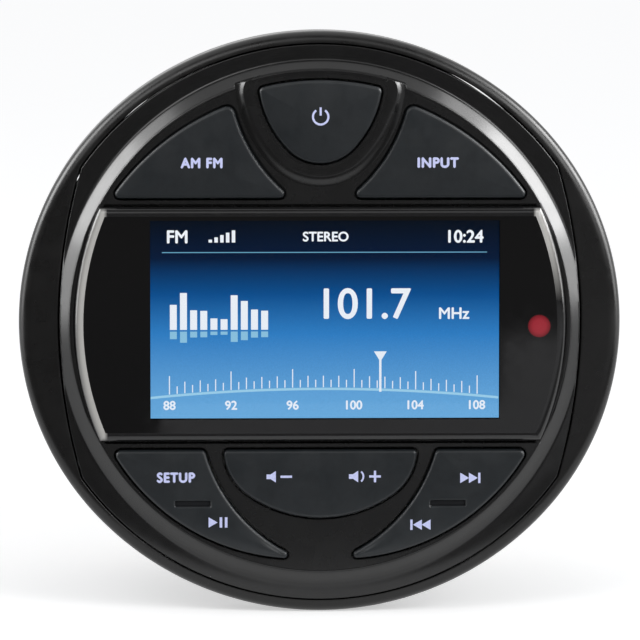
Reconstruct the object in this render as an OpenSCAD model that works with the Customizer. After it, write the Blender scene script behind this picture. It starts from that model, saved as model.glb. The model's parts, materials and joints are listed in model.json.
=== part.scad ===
// Round flush-mount marine stereo: an oval trim ring, a keyed front panel with a display,
// a tubular housing that drops through a round hole in the dash, and a strap clamp behind it.
// The face looks along -Y with +Z up. The origin is the centre of the seating plane,
// where the gasket meets the dash. Every piece is drawn face up, with z the height off the dash
// towards the viewer and y up the face, and facing() then turns it upright.

/* [Bezel] */
// How much wider than tall the trim ring is
oval_extra = 3.4; // [0:0.1:6]
// How far the trim ring stands off the dash
bezel_stand = 11; // [10:0.1:13]
// Rounding of the trim ring's front edge
bezel_round = 2; // [1:0.1:2.4]
// Wall of the trim ring's skirt at the top and bottom
skirt_wall = 1.7; // [1.2:0.1:2]
// Gap between the skirt's rear edge and the dash
skirt_lift = 0.4; // [0.2:0.1:1]
// Rim of the ring above and below the front panel
rim_h = 2.3; // [2.2:0.1:3]
// Cheek of the ring to the left and right of the front panel
cheek_w = 7.15; // [6:0.05:9]

/* [Front panel] */
// Radius of the panel's left and right edges
panel_side_r = 95.2; // [70:0.2:130]
// How far the centres of the panel's top and bottom edges lie beyond the middle
panel_end_c = 2.25; // [1:0.05:5]
// How far the panel's rim stands proud of the trim ring
panel_proud = 0.3; // [0:0.05:0.8]
// Land between the panel's edge and the sloping band
band_inset = 2.6; // [2:0.1:4]
// Width of the sloping band round the key field
band_w = 2.25; // [1.5:0.05:3]
// Rise of the sloping band
band_rise = 2.2; // [1.6:0.1:2.6]
// Thickness of the panel's skin
panel_skin = 1.6; // [1.2:0.1:1.8]
// Thickness of the panel's outer wall
panel_wall = 2; // [1.5:0.1:2.5]
// Rise of the collar round the power key
collar_rise = 0.9; // [0.5:0.1:1.2]
// Flat land on the collar round the power key
collar_land = 2.2; // [1.6:0.1:2.6]
// Width of the collar's sloping flank
collar_flank = 1.3; // [0.8:0.1:1.5]

/* [Lens and display] */
// Border of the lens above and below the display
lens_rail = 3.1; // [2.6:0.05:4]
// Border of the lens to the left and right of the display
lens_side = 12.3; // [11:0.1:14]
// Inset of the lens from the panel's left and right edges
lens_inset = 2.5; // [2:0.1:4]
// Radius of the lens's left and right edges
lens_side_r = 50; // [44:0.5:60]
// Thickness of the lens
lens_t = 2.8; // [2.2:0.1:3.4]
// Depth of the lens's seat below the key field
lens_sink = 1.3; // [1:0.1:1.6]
// Width of the lens's bevel
bevel_w = 1.45; // [1:0.05:1.8]
// Depth of the lens's bevel
bevel_d = 1.1; // [0.6:0.1:1.2]
// Thickness of the tape under the lens
tape_t = 0.3; // [0.2:0.05:0.5]
// Width of the display's active area
screen_w = 60.1; // [56:0.1:61]
// Height of the display's active area
screen_h = 34.3; // [32:0.1:34.8]
// Offset of the display to the right of the centre
screen_x = 0.8; // [-1:0.1:1.2]
// Offset of the display above the centre
screen_y = 0.8; // [-0.6:0.1:0.9]
// Thickness of the display glass
glass_t = 1.2; // [0.8:0.1:1.6]
// Distance of the infra-red spot from the lens's right edge
ir_inset = 4.6; // [4.2:0.05:5]
// Radius of the infra-red spot
ir_r = 1.88; // [1.4:0.02:2]

/* [Keys] */
// Gap between a key and its opening
key_gap = 0.35; // [0.3:0.05:0.4]
// How far the keys stand proud of the panel
key_proud = 1; // [0.8:0.05:1.4]
// Rounding of the keys' top edges
key_edge = 0.6; // [0.3:0.05:0.8]
// Land between the sloping band and the top of the band and mode keys' outer edge
wing_margin = 2.3; // [2:0.05:2.6]
// Land between the sloping band and the foot of the band and mode keys' outer edge
wing_corner = 0.9; // [0.7:0.05:1.4]
// Land between the sloping band and the corner rockers
corner_margin = 0.8; // [0.6:0.05:1.2]
// Radius of the corner rockers' outer edge
corner_outer_r = 37.1; // [36:0.1:39]
// Land between the sloping band and the power key
power_margin = 0.95; // [0.8:0.05:1.3]
// Land between the lens and the keys above and below it
key_land = 1.3; // [1.1:0.05:1.6]
// Height of the power key
power_h = 14.6; // [12:0.1:15]
// Radius of the power key's lower end
power_bottom_r = 7.9; // [6.5:0.1:8.5]
// Radius of the power key's flanks
power_side_r = 18.7; // [16:0.1:20]
// Direction in which the power key's flanks spread
power_flare = 43.6; // [40:0.1:46]
// How much flatter the inner edge of the band and mode keys is than the power key's flank
wing_step = 9; // [7.5:0.1:10]
// Width of the volume rocker
volume_w = 33.7; // [30:0.1:36]
// Radius of the volume rocker's ends
volume_end_r = 10; // [8:0.1:10.5]
// Radius of the volume rocker's lower edge
volume_low_r = 21.9; // [20:0.1:24]
// Land between the volume rocker and its neighbours
lower_land = 2.95; // [2.4:0.05:4]
// Radius of the corner rockers' inner edge
corner_inner_r = 28; // [26:0.1:30]
// Length of the moulded slot in a corner rocker
slot_w = 6.06; // [5:0.02:7]
// Height of the moulded slot in a corner rocker
slot_h = 0.9; // [0.6:0.05:1.2]
// Depth of the moulded slot in a corner rocker
slot_d = 0.5; // [0.3:0.05:0.7]
// Distance of the corner rockers' slots from the rockers' outermost point
slot_inset = 4.35; // [4:0.05:4.8]
// Direction of the corner rockers' slots below the level line
slot_turn = 54.6; // [54:0.1:55.2]

/* [Key action] */
// Travel of a push key
key_travel = 0.6; // [0.4:0.05:0.7]
// Width of the lip that keeps a push key in the panel
lip_w = 0.7; // [0.5:0.05:0.8]
// Thickness of that lip
lip_t = 0.9; // [0.7:0.05:1]
// Radius of the rocker pins
pin_r = 0.75; // [0.6:0.05:0.8]
// Length of the rocker pins
pin_len = 8; // [7:0.1:9]
// Wall round a rocker's pin bore
rib_wall = 0.7; // [0.6:0.05:0.8]
// Length of a rocker's rib along its pin
rib_len = 3.2; // [2.4:0.1:3.6]
// Radius of the stems that press the switches
stem_r = 1.8; // [1.4:0.1:2.2]
// Side of a switch body
switch_side = 4.2; // [3.6:0.1:4.4]
// Height of a switch body
switch_h = 1.4; // [1.2:0.1:1.6]
// Thickness of the keypad mat
mat_t = 0.7; // [0.5:0.05:0.9]
// Height of the mat's pads over the switches
mat_pad = 0.3; // [0.2:0.05:0.4]

/* [Housing] */
// Thickness of the gasket against the dash
gasket_t = 1.5; // [1:0.1:2]
// Distance of the gasket's edge from the flange's edge
gasket_inset = 1.15; // [0.8:0.05:3]
// Thickness of the housing's flange
flange_t = 3; // [2.8:0.1:3.4]
// Width of the flange round the barrel that passes through the dash
flange_w = 10.65; // [10.4:0.05:11.4]
// Wall of the barrel
barrel_wall = 2; // [1.8:0.1:2.4]
// Depth of the barrel behind the dash
barrel_depth = 54; // [50:0.5:70]
// Thickness of the circuit boards
board_t = 1.6; // [1:0.1:1.8]
// Distance of the front circuit board's edge from the sloping band
board_inset = 0.85; // [0.6:0.05:2]
// Depth of the main board's front face behind the dash
main_board_depth = 20; // [17:0.5:22]
// Thickness of the ledge that stops the main board
ledge_t = 3; // [2:0.1:4]
// Width of that ledge
ledge_w = 6.2; // [5.6:0.1:7]
// Radius of the pilot holes for the small screws
pilot_r = 1.25; // [1:0.05:1.35]
// Radius of the small screws' heads
head_r = 2.4; // [2:0.1:2.5]
// Height of the small screws' heads
head_h = 1.6; // [1.2:0.1:1.8]

/* [Rear] */
// Thickness of the rear cover
cover_t = 3; // [2.5:0.1:4]
// Thickness of the heat sink's base and of its tongue
sink_t = 3.5; // [3:0.1:4]
// Height of the heat sink's fins
fin_h = 8; // [5:0.5:10]
// Thickness of a fin
fin_t = 1.6; // [1.2:0.1:2]
// Number of fins
fin_n = 7; // [5:1:8]
// Width of the harness socket
harness_w = 18; // [15:0.5:19]
// Height of the harness socket
harness_h = 10; // [9:0.5:11]
// How far the sockets stand off the rear cover
socket_stand = 9; // [8:0.5:12]
// Bore radius of the antenna socket
antenna_r = 4.6; // [4.2:0.05:4.8]
// Depth of the antenna socket's bore
antenna_depth = 12; // [10:0.5:14]
// Shell radius of a line-out socket
line_out_r = 4.15; // [4:0.05:4.3]

/* [Clamp] */
// Thickness of the dash that the clamp is drawn with
dash_t = 6; // [3:0.5:16]
// Thinnest dash that the clamp closes on
dash_min = 2.5; // [2.5:0.1:3]
// Thickest dash that the clamp opens to
dash_max = 16; // [16:0.5:20]
// Width of the strap
strap_w = 16; // [12:0.5:17]
// Thickness of the strap
strap_t = 1.6; // [1.2:0.1:2]
// Length of the strap's feet
foot_len = 8; // [6:0.5:9]
// Radius of the studs
stud_r = 2.5; // [2:0.05:2.6]
// Distance of the studs from the middle
stud_x = 26; // [25:0.5:27]
// Radius of the thumb nuts
nut_r = 7.5; // [6.5:0.1:9]
// Height of the thumb nuts
nut_h = 6; // [5:0.1:8]
// Thickness of the washers
washer_t = 1; // [0.8:0.1:1.4]

/* [Clearances] */
// Gap between the ring and the front panel
seam_gap = 0.25; // [0.2:0.05:0.35]
// Gap between the ring's skirt and the flange
skirt_gap = 0.2; // [0.1:0.05:0.3]
// Gap round the lens
lens_gap = 0.4; // [0.3:0.05:0.5]
// Gap of a resting key's lip under the skin
lip_gap = 0.1; // [0.05:0.01:0.15]
// Running gap round a rocker pin
pin_gap = 0.06; // [0.04:0.01:0.1]
// Gap between pieces that move past each other
run_gap = 0.3; // [0.3:0.05:0.4]
// Gap round pieces that are dropped into place
seat_gap = 0.1; // [0.05:0.01:0.15]
// Gap between a nut's bore and its stud
thread_gap = 0.3; // [0.3:0.05:0.4]

/* [Hidden] */
$fn = 96;
// Overshoot of cuts
eps = 0.01;
through = 100;

// Heights off the dash
board_z = gasket_t + flange_t;
switch_z = board_z + board_t;
mat_z = switch_z + switch_h;
mat_top = mat_z + mat_t;
pad_top = mat_top + mat_pad;
panel_z = bezel_stand + panel_proud;
field_z = panel_z + band_rise;
under_z = field_z - panel_skin;
collar_z = field_z + collar_rise;
lens_back = field_z - lens_sink;
ledge_z = lens_back - tape_t;
ledge_under = ledge_z - panel_skin;
lip_top = under_z - lip_gap;
cap_z = lip_top - lip_t;
stem_z = pad_top + key_travel + seat_gap;
rib_r = pin_r + pin_gap + rib_wall;
pivot_z = mat_top + run_gap + rib_r;
rocker_z = pivot_z + pin_r + 2 * run_gap;
cover_z = -barrel_depth;
rear_z = cover_z - cover_t;
main_z = -main_board_depth;
main_rear = main_z - board_t;

// The front grows outwards from the display
lens_h = screen_h + 2 * lens_rail;
lens_half_w = screen_w / 2 + lens_side;
panel_half_w = lens_half_w + lens_inset;
bezel_w = 2 * (panel_half_w + cheek_w);
bezel_h = bezel_w - oval_extra;
panel_half_h = bezel_h / 2 - rim_h;

// The ring's oval is made of four arcs that meet at 45 degrees
oval_shift = (bezel_w - bezel_h) / 2 / (2 - sqrt(2));
oval_side_r = bezel_w / 2 - oval_shift;
oval_end_r = bezel_h / 2 + oval_shift;
oval_depth = cheek_w + 2 * bezel_round;
flange_r = bezel_h / 2 - skirt_wall - skirt_gap;
barrel_r = flange_r - flange_w;

// The panel's outline is four arcs too
panel_side_c = panel_side_r - panel_half_w;
panel_end_r = panel_half_h + panel_end_c;
band_out = panel_half_h - band_inset;
band_in = band_out - band_w;
key_reach = band_in - corner_margin;
lip_reach = band_in - panel_skin / 2 - run_gap;
// How far the collar hangs over the sloping band, and the draft of its outer wall
collar_over = 0.6;
collar_draft = 0.4;

lens_side_c = lens_side_r - lens_half_w;
ir_x = lens_half_w - ir_inset;
front_board_r = band_in - board_inset;
key_edge_y = lens_h / 2 + key_land;
window_margin = 1;
tray_wall = 0.5;
glass_border = 1.6;
glass_size = [screen_w + 2.8 * glass_border, screen_h + 2 * glass_border];
tray_size = glass_size + 2 * (tray_wall + seat_gap) * [1, 1];
tray_z = switch_z;
tray_top = ledge_under - seat_gap;

// Corner rounding of the key outlines
wing_tip_round = 1.6;
wing_foot_round = 1;
power_round = 1;
corner_round = 1.1;
corner_tip_round = 0.8;
volume_round = 0.9;
fine = 4;
coarse = 12;

// Key outline centres
power_top_r = band_in - power_margin;
power_low = [0, power_top_r - power_h + power_bottom_r];
power_flank = power_low + (power_side_r - power_bottom_r) * [cos(power_flare), sin(power_flare)];
wing_shift = [4.4, 0.9];
wing_arc = power_flank + wing_shift;
wing_r = power_side_r + wing_step;
wing_top = band_in - wing_margin;
wing_outer = [0, (pow(band_in - wing_corner, 2) - pow(wing_top, 2)) / (2 * (key_edge_y - wing_top))];
wing_outer_r = wing_top - wing_outer.y;
volume_end_x = volume_w / 2 - volume_end_r;
volume_low_y = -key_edge_y + sqrt(pow(volume_low_r - volume_end_r, 2) - pow(volume_end_x, 2));
corner_rise = 7;
corner_outer = -(key_reach - corner_outer_r) / sqrt(2) * [1, 1];
corner_arc = [sqrt(pow(corner_inner_r, 2) - pow(corner_rise, 2)) - volume_w / 2 - lower_land,
              corner_rise - key_edge_y];

// Where the switches lie under the keys, on the right half and on the centre line
wing_switch_rise = 5.8;
volume_pivot_drop = 5.6;
volume_switch_out = 4;
volume_switch_drop = 4.6;
high_switch_out = 4;
high_switch_rise = 4.6;
low_switch_in = 5.4;
low_switch_drop = 4.2;
slot_at = (key_reach - slot_inset) * [cos(slot_turn), -sin(slot_turn)];
power_at = [0, power_low.y];
wing_at = [key_reach / 2, key_edge_y + wing_switch_rise];
volume_pivot = [0, -key_edge_y - volume_pivot_drop];
volume_at = [volume_end_x + volume_switch_out, -key_edge_y - volume_switch_drop];
corner_high = slot_at + [high_switch_out, high_switch_rise];
corner_low = slot_at - [low_switch_in, low_switch_drop];
pad_r = stem_r + run_gap;
led_size = [1.2, 2];
led_h = 0.8;
led_gap = 0.8;
ir_body = [3.4, 5];

// Screws: posts behind the panel, clear of the barrel, and the small screws' fits
post_wall = 1.35;
post_r = pilot_r + post_wall;
post_ring = barrel_r + head_r + 3 * seat_gap;
post_at = [for (a = [20, 160, 200, 340, 270]) post_ring * [cos(a), sin(a)]];
low_post = post_at[4];
screw_r = pilot_r + 2 * seat_gap;
shank_r = pilot_r - seat_gap / 4;
// Depth left over past the tip of a screw, and past the end of a pilot hole
tip_gap = 0.5;

// Rear layout
barrel_in = barrel_r - barrel_wall;
main_board_r = barrel_in - 2 * run_gap;
cover_post_wall = 2;
cover_post_r = pilot_r + cover_post_wall;
cover_post_len = 14;
cover_post_ring = barrel_in - cover_post_r + 2 * seat_gap;
cover_screw_at = [for (a = [35, 145, 255]) cover_post_ring * [cos(a), sin(a)]];
board_screw_at = [for (a = [90:120:330]) (barrel_in - ledge_w / 2) * [cos(a), sin(a)]];
gasket_gap = 1;
gasket_in = barrel_r + gasket_gap;
seal_r = barrel_r - barrel_wall / 2;
seal_w = barrel_wall / 2;
seal_t = 0.8;
ribbon_at = [0, -14];
ribbon_t = 0.3;
header_size = [22, 5];
header_h = 4;
tuner_at = [-12, -12];
tuner_size = [18, 15];
tuner_h = 11;
capacitor_at = [[12, -13], [23, -7]];
capacitor_r = 5;
capacitor_h = 16;
choke_at = [14, 3];
choke_r = 6;
choke_bore = 2.6;
choke_h = 6;
socket_back = rear_z - socket_stand;
socket_flange = 3;
socket_front = cover_z + socket_flange;
socket_gap = 1.5;
harness_wall = 1.5;
harness_pin = 0.8;
harness_pin_len = 5;
harness_pin_y = 2.2;
harness_edge = 2.5;
harness_at = [-harness_w / 2 - harness_edge, -strap_w / 2 - harness_h / 2 - 2 * socket_gap];
antenna_wall = 1.9;
antenna_x = 18.5;
antenna_at = [antenna_x, -strap_w / 2 - antenna_r - antenna_wall - socket_gap];
line_out_step = 0.6;
line_out_rim = 1.4;
line_out_neck = line_out_r + line_out_step;
line_out_flange = line_out_r + line_out_rim;
line_out_x = 4.2;
line_out_pitch = 11;
line_out_at = [for (i = [0, 1]) [line_out_x, -strap_w / 2 - line_out_flange - i * line_out_pitch]];
line_out_bore = 1.6;
tongue_gap = 9;
tongue_y = strap_w / 2 + tongue_gap;
chip_size = [24, 4.8];
chip_len = 18;
chip_leg = 0.8;
chip_pitch = 1.9;
tongue_w = 28;
chip_lift = 4;
sink_gap = 3;
sink_over = 6.5;
sink_low = strap_w / 2 + sink_gap;
sink_high = tongue_y + sink_t + sink_over;
sink_w = 32;
sink_screw_x = 12;
sink_screw_drop = 3.4;
sink_screw_at = [sink_screw_x, sink_high - sink_screw_drop];

// Clamp layout
strap_gap = 1.6;
strap_x = barrel_r + strap_gap;
strap_len = barrel_depth + cover_t + 2 * run_gap - dash_min;
strap_z = -dash_t - strap_len;
washer_z = strap_z - strap_t;
nut_z = washer_z - washer_t - seat_gap;
stud_spare = 1.5;
stud_end = -dash_max - strap_len - strap_t - washer_t - nut_h - stud_spare;
stud_rim = 1.5;
stud_head_r = stud_r + stud_rim;
stud_head_h = 2;

// Turns a piece drawn face up so that its face looks along -Y
module facing() {
  rotate([90, 0, 0]) children();
}

module both_sides() {
  children();
  mirror([1, 0, 0]) children();
}

// A round rod from height z0 up to height z1
module rod(at, r, z0, z1) {
  translate([at.x, at.y, z0]) cylinder(r = r, h = z1 - z0);
}

// A rectangular block centred on a point of the face
module block(at, size, z0, z1) {
  translate([at.x - size.x / 2, at.y - size.y / 2, z0]) cube([size.x, size.y, z1 - z0]);
}

// A flat piece of any outline from height z0 up to height z1
module slab(z0, z1) {
  translate([0, 0, z0]) linear_extrude(z1 - z0) children();
}

function heading(v) = atan2(v.y, v.x);
function mirror_x(v) = [-v.x, v.y];

// Crossing of two circles, on the left or the right of the line between their centres
function meet(a, ra, b, rb, side) =
  let (d = norm(b - a), t = (ra * ra - rb * rb + d * d) / (2 * d), u = (b - a) / d)
  a + t * u + side * sqrt(ra * ra - t * t) * [-u.y, u.x];

// A stretch of outline: centre, radius, first and last angle, steps, and 1 if it bulges or -1 if hollow
function arc(c, r, a0, a1, steps, bulge = 1) = [c, r, a0, a1, steps, bulge];

// The points of an outline made of such stretches, grown evenly by g
function outline(arcs, g) = [for (s = arcs) for (i = [0:s[4]])
  let (a = s[2] + (s[3] - s[2]) * i / s[4]) s[0] + (s[1] + s[5] * g) * [cos(a), sin(a)]];

// Band key: a straight foot, a hollow inner edge and a bulging outer edge
function wing_arcs() =
  let (foot = key_edge_y + wing_foot_round,
       outer = [-sqrt(pow(wing_outer_r - wing_foot_round, 2) - pow(foot - wing_outer.y, 2)), foot],
       inner = [wing_arc.x - sqrt(pow(wing_r + wing_foot_round, 2) - pow(foot - wing_arc.y, 2)), foot],
       tip = meet(wing_outer, wing_outer_r - wing_tip_round, wing_arc, wing_r + wing_tip_round, 1))
  [arc(inner, wing_foot_round, -90, heading(wing_arc - inner), fine),
   arc(wing_arc, wing_r, heading(inner - wing_arc) + 360, heading(tip - wing_arc) + 360, coarse, -1),
   arc(tip, wing_tip_round, heading(wing_arc - tip), heading(tip - wing_outer), fine),
   arc(wing_outer, wing_outer_r, heading(tip - wing_outer), heading(outer - wing_outer), coarse),
   arc(outer, wing_foot_round, heading(outer - wing_outer), 270, fine)];

// Power key: a shield under an arc round the panel's centre
function power_arcs() =
  let (right = mirror_x(power_flank),
       corner = meet([0, 0], power_top_r - power_round, right, power_side_r - power_round, -1),
       top = heading(corner), flank = heading(corner - right))
  [arc(right, power_side_r, -power_flare, flank, coarse),
   arc(corner, power_round, flank, top, fine),
   arc([0, 0], power_top_r, top, 180 - top, coarse),
   arc(mirror_x(corner), power_round, 180 - top, 180 - flank, fine),
   arc(power_flank, power_side_r, 180 - flank, 180 + power_flare, coarse),
   arc(power_low, power_bottom_r, 180 + power_flare, 360 - power_flare, coarse)];

// Menu rocker: a straight head, a bulging outer edge and a hollow inner edge
function corner_arcs() =
  let (head = -key_edge_y - corner_round,
       outer = [corner_outer.x - sqrt(pow(corner_outer_r - corner_round, 2) - pow(head - corner_outer.y, 2)), head],
       inner = [corner_arc.x - sqrt(pow(corner_inner_r + corner_round, 2) - pow(head - corner_arc.y, 2)), head],
       tip = meet(corner_outer, corner_outer_r - corner_tip_round,
                  corner_arc, corner_inner_r + corner_tip_round, -1))
  [arc(inner, corner_round, heading(corner_arc - inner), 90, fine),
   arc(outer, corner_round, 90, heading(outer - corner_outer) + 360, fine),
   arc(corner_outer, corner_outer_r, heading(outer - corner_outer) + 360,
       heading(tip - corner_outer) + 360, coarse),
   arc(tip, corner_tip_round, heading(tip - corner_outer) + 360, heading(corner_arc - tip) + 360, fine),
   arc(corner_arc, corner_inner_r, heading(tip - corner_arc) + 360, heading(inner - corner_arc) + 360,
       coarse, -1)];

// Volume rocker: a straight head over a boat shape
function volume_arcs() =
  let (end = [volume_end_x, -key_edge_y], low = [0, volume_low_y],
       corner = end + [sqrt(pow(volume_end_r - volume_round, 2) - volume_round * volume_round), -volume_round],
       turn = heading(end - low), side = heading(corner - end))
  [arc(end, volume_end_r, turn, side, coarse),
   arc(corner, volume_round, side, 90, fine),
   arc(mirror_x(corner), volume_round, 90, 180 - side, fine),
   arc(mirror_x(end), volume_end_r, 180 - side, 180 - turn, coarse),
   arc(low, volume_low_r, 180 - turn, 360 + turn, coarse)];

// A solid skinned over a stack of outlines that have as many points each; both ends are fans round a hub
// that sees the whole outline
module loft(rings, heights, hub) {
  n = len(rings[0]);
  last = len(rings) - 1;
  top = n * last;
  sides = [for (k = [0:last - 1]) for (i = [0:n - 1]) let (a = k * n + i, b = k * n + (i + 1) % n)
           each [[a, a + n, b + n], [a, b + n, b]]];
  ends = [for (i = [0:n - 1]) let (j = (i + 1) % n)
          each [[i, j, top + n], [top + j, top + i, top + n + 1]]];
  polyhedron(points = concat([for (k = [0:last]) for (p = rings[k]) [p.x, p.y, heights[k]]],
                             [for (k = [0, last]) [hub.x, hub.y, heights[k]]]),
             faces = concat(sides, ends));
}

// A key cap with its top edge rounded over
module cap(arcs, z0, z1, hub) {
  g = -key_gap / 2;
  loft([outline(arcs, g), outline(arcs, g), outline(arcs, g - 0.3 * key_edge), outline(arcs, g - key_edge)],
       [z0, z1 - key_edge, z1 - 0.3 * key_edge, z1], hub);
}

// A push key: its cap, the lip that keeps it in and the stem that presses the switch
module push_key(arcs, at, top, foot) {
  cap(arcs, cap_z + lip_t / 2, top, at);
  slab(cap_z, lip_top) intersection() {
    polygon(outline(arcs, lip_w));
    translate([-through / 2, foot]) square(through);
    circle(lip_reach);
  }
  rod(at, stem_r, stem_z, cap_z + eps);
}

// The bored rib under a rocker, along its pin; turned for a pin that stands upright on the face
module rib(at, turn, top) {
  translate([at.x, at.y, pivot_z]) rotate([0, 0, turn]) {
    rotate([0, 90, 0]) cylinder(r = rib_r, h = rib_len, center = true);
    translate([-rib_len / 2, -rib_r, 0]) cube([rib_len, 2 * rib_r, top - pivot_z]);
  }
}

module pin_cut(at, turn, r, length) {
  translate([at.x, at.y, pivot_z]) rotate([0, 0, turn]) rotate([0, 90, 0])
    cylinder(r = r, h = length, center = true);
}

module rocker(arcs, at, turn, stems, hub) {
  difference() {
    union() {
      cap(arcs, rocker_z, field_z + key_proud, hub);
      rib(at, turn, rocker_z + eps);
      for (p = stems) rod(p, stem_r, stem_z, rocker_z + eps);
    }
    pin_cut(at, turn, pin_r + pin_gap, 2 * rib_len);
  }
}

module corner_rocker() {
  difference() {
    rocker(corner_arcs(), mirror_x(slot_at), 0, [mirror_x(corner_high), mirror_x(corner_low)],
           mirror_x(slot_at - slot_inset * [0.5, 0.75]));
    block(mirror_x(slot_at), [slot_w, slot_h], field_z + key_proud - slot_d, through);
  }
}

module panel_outline(g) {
  intersection() {
    translate([0, panel_end_c]) circle(panel_end_r + g);
    translate([0, -panel_end_c]) circle(panel_end_r + g);
    translate([panel_side_c, 0]) circle(panel_side_r + g);
    translate([-panel_side_c, 0]) circle(panel_side_r + g);
  }
}

module lens_outline(g) {
  intersection() {
    translate([-lens_side_c, 0]) circle(lens_side_r + g);
    translate([lens_side_c, 0]) circle(lens_side_r + g);
    square([bezel_w, lens_h + 2 * g], center = true);
  }
}

// One quarter of the ring's rounded section, turned about its own centre
module ring_quarter(centre, r, start) {
  height = bezel_stand - skirt_lift;
  translate([centre.x, centre.y, skirt_lift]) rotate_extrude(angle = 90, start = start)
    translate([r - oval_depth, 0]) {
      square([oval_depth, height - bezel_round]);
      square([oval_depth - bezel_round, height]);
      translate([oval_depth - bezel_round, height - bezel_round]) circle(bezel_round);
    }
}

module trim_ring() {
  color("#1c1b1b") facing() difference() {
    union() {
      ring_quarter([oval_shift, 0], oval_side_r, -45);
      ring_quarter([0, -oval_shift], oval_end_r, 45);
      ring_quarter([-oval_shift, 0], oval_side_r, 135);
      ring_quarter([0, oval_shift], oval_end_r, 225);
    }
    slab(skirt_lift - 1, through) panel_outline(seam_gap);
    rod([0, 0], flange_r + skirt_gap, skirt_lift - 1, board_z);
  }
}

module key_openings() {
  g = key_gap / 2;
  polygon(outline(power_arcs(), g));
  polygon(outline(volume_arcs(), g));
  both_sides() {
    polygon(outline(wing_arcs(), g));
    polygon(outline(corner_arcs(), g));
  }
}

// The raised shield round the power key, kept inside the sloping band
module collar() {
  wide = collar_land + collar_flank;
  intersection() {
    loft([outline(power_arcs(), wide), outline(power_arcs(), wide), outline(power_arcs(), collar_land)],
         [panel_z, field_z, collar_z], power_at);
    translate([0, 0, panel_z])
      cylinder(r1 = band_in + collar_over + collar_draft, r2 = band_in + collar_over, h = collar_z - panel_z);
  }
}

module panel_shell() {
  difference() {
    union() {
      slab(board_z, panel_z) panel_outline(0);
      intersection() {
        translate([0, 0, panel_z]) cylinder(r1 = band_out, r2 = band_in, h = band_rise);
        slab(panel_z - eps, field_z + 1) panel_outline(0);
      }
      collar();
    }
    slab(board_z - 1, panel_z - panel_skin) panel_outline(-panel_wall);
    difference() {
      translate([0, 0, panel_z - panel_skin - eps])
        cylinder(r1 = band_out - panel_skin / 2, r2 = band_in - panel_skin / 2, h = band_rise + eps);
      block([0, 0], [bezel_w, 2 * key_edge_y - key_gap], ledge_under, through);
    }
  }
}

module front_panel() {
  color("#1f1f20") facing() difference() {
    union() {
      panel_shell();
      for (p = post_at) rod(p, post_r, board_z, ledge_under + eps);
      rod(low_post, post_r, board_z, under_z + eps);
    }
    slab(ledge_z, through) lens_outline(lens_gap);
    block([screen_x, screen_y], [screen_w, screen_h] + 2 * window_margin * [1, 1], 0, through);
    slab(0, through) key_openings();
    rod([ir_x, 0], ir_r + seat_gap / 2, 0, through);
    for (p = post_at) rod(p, pilot_r, board_z - 1, ledge_under - tip_gap);
  }
}

// One side of the lens, as a bevelled disc that reaches across it
module lens_side(centre) {
  rod([centre, 0], lens_side_r, lens_back, lens_back + lens_t - bevel_d);
  translate([centre, 0, lens_back + lens_t - bevel_d])
    cylinder(r1 = lens_side_r, r2 = lens_side_r - bevel_w, h = bevel_d);
}

// The lens: two side arcs and two straight edges, all bevelled towards the front
module display_lens() {
  half = lens_h / 2;
  straight = lens_t - bevel_d;
  color("#0c0c0e") facing() intersection() {
    lens_side(lens_side_c);
    lens_side(-lens_side_c);
    translate([0, 0, lens_back]) rotate([90, 0, 90]) linear_extrude(bezel_w, center = true)
      polygon([[-half, 0], [half, 0], [half, straight], [half - bevel_w, lens_t],
               [bevel_w - half, lens_t], [-half, straight]]);
  }
}

module lens_tape() {
  color("#101010") facing() difference() {
    slab(ledge_z, lens_back) lens_outline(-seat_gap);
    block([screen_x, screen_y], [screen_w, screen_h] + 2 * (window_margin + seat_gap) * [1, 1], 0, through);
    rod([ir_x, 0], ir_r + 2 * seat_gap, 0, through);
  }
}

module ir_window() {
  color("#8c1420") facing() rod([ir_x, 0], ir_r, ledge_under, ledge_z);
}

module power_key() {
  color("#303336") facing() push_key(power_arcs(), power_at, collar_z + key_proud, 0);
}

module band_key() {
  color("#303336") facing()
    push_key(wing_arcs(), mirror_x(wing_at), field_z + key_proud, key_edge_y + key_gap / 2);
}

module mode_key() {
  color("#303336") facing() mirror([1, 0, 0])
    push_key(wing_arcs(), mirror_x(wing_at), field_z + key_proud, key_edge_y + key_gap / 2);
}

module menu_play_key() {
  color("#303336") facing() corner_rocker();
}

module track_key() {
  color("#303336") facing() mirror([1, 0, 0]) corner_rocker();
}

module volume_key() {
  color("#303336") facing() rocker(volume_arcs(), volume_pivot, 90, [volume_at, mirror_x(volume_at)], volume_pivot);
}

// Every rocker's pivot: its place on the face and the turn of its pin
pivots = [[slot_at, 0], [mirror_x(slot_at), 0], [volume_pivot, 90]];

module rocker_pins() {
  color("#c0c0c4") facing() for (p = pivots) pin_cut(p[0], p[1], pin_r, pin_len);
}

// Two ears on a foot that stands on the front board and holds a rocker's pin
module saddle() {
  ear = (pin_len - rib_len) / 2 - run_gap;
  for (s = [-1, 1]) translate([s * (pin_len - ear) / 2, 0, 0])
    block([0, 0], [ear, 2 * rib_r], switch_z, pivot_z + pin_r + run_gap);
  block([0, 0], [pin_len, 2 * rib_r], switch_z, pivot_z - rib_r - run_gap);
}

module rocker_saddles() {
  color("#e8e6e0") facing() difference() {
    for (p = pivots) translate(p[0]) rotate([0, 0, p[1]]) saddle();
    for (p = pivots) pin_cut(p[0], p[1], pin_r + seat_gap / 4, pin_len + 1);
  }
}

switch_at = concat([power_at, volume_at, mirror_x(volume_at)],
                   [for (p = [wing_at, corner_high, corner_low]) each [p, mirror_x(p)]]);

module mat_outline() {
  difference() {
    circle(key_reach - run_gap);
    square([2 * bezel_w, 2 * key_edge_y + 1], center = true);
    translate(low_post) circle(post_r + run_gap);
    for (p = pivots) translate(p[0]) rotate(p[1])
      square([pin_len, 2 * rib_r] + 2 * run_gap * [1, 1], center = true);
  }
}

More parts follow.
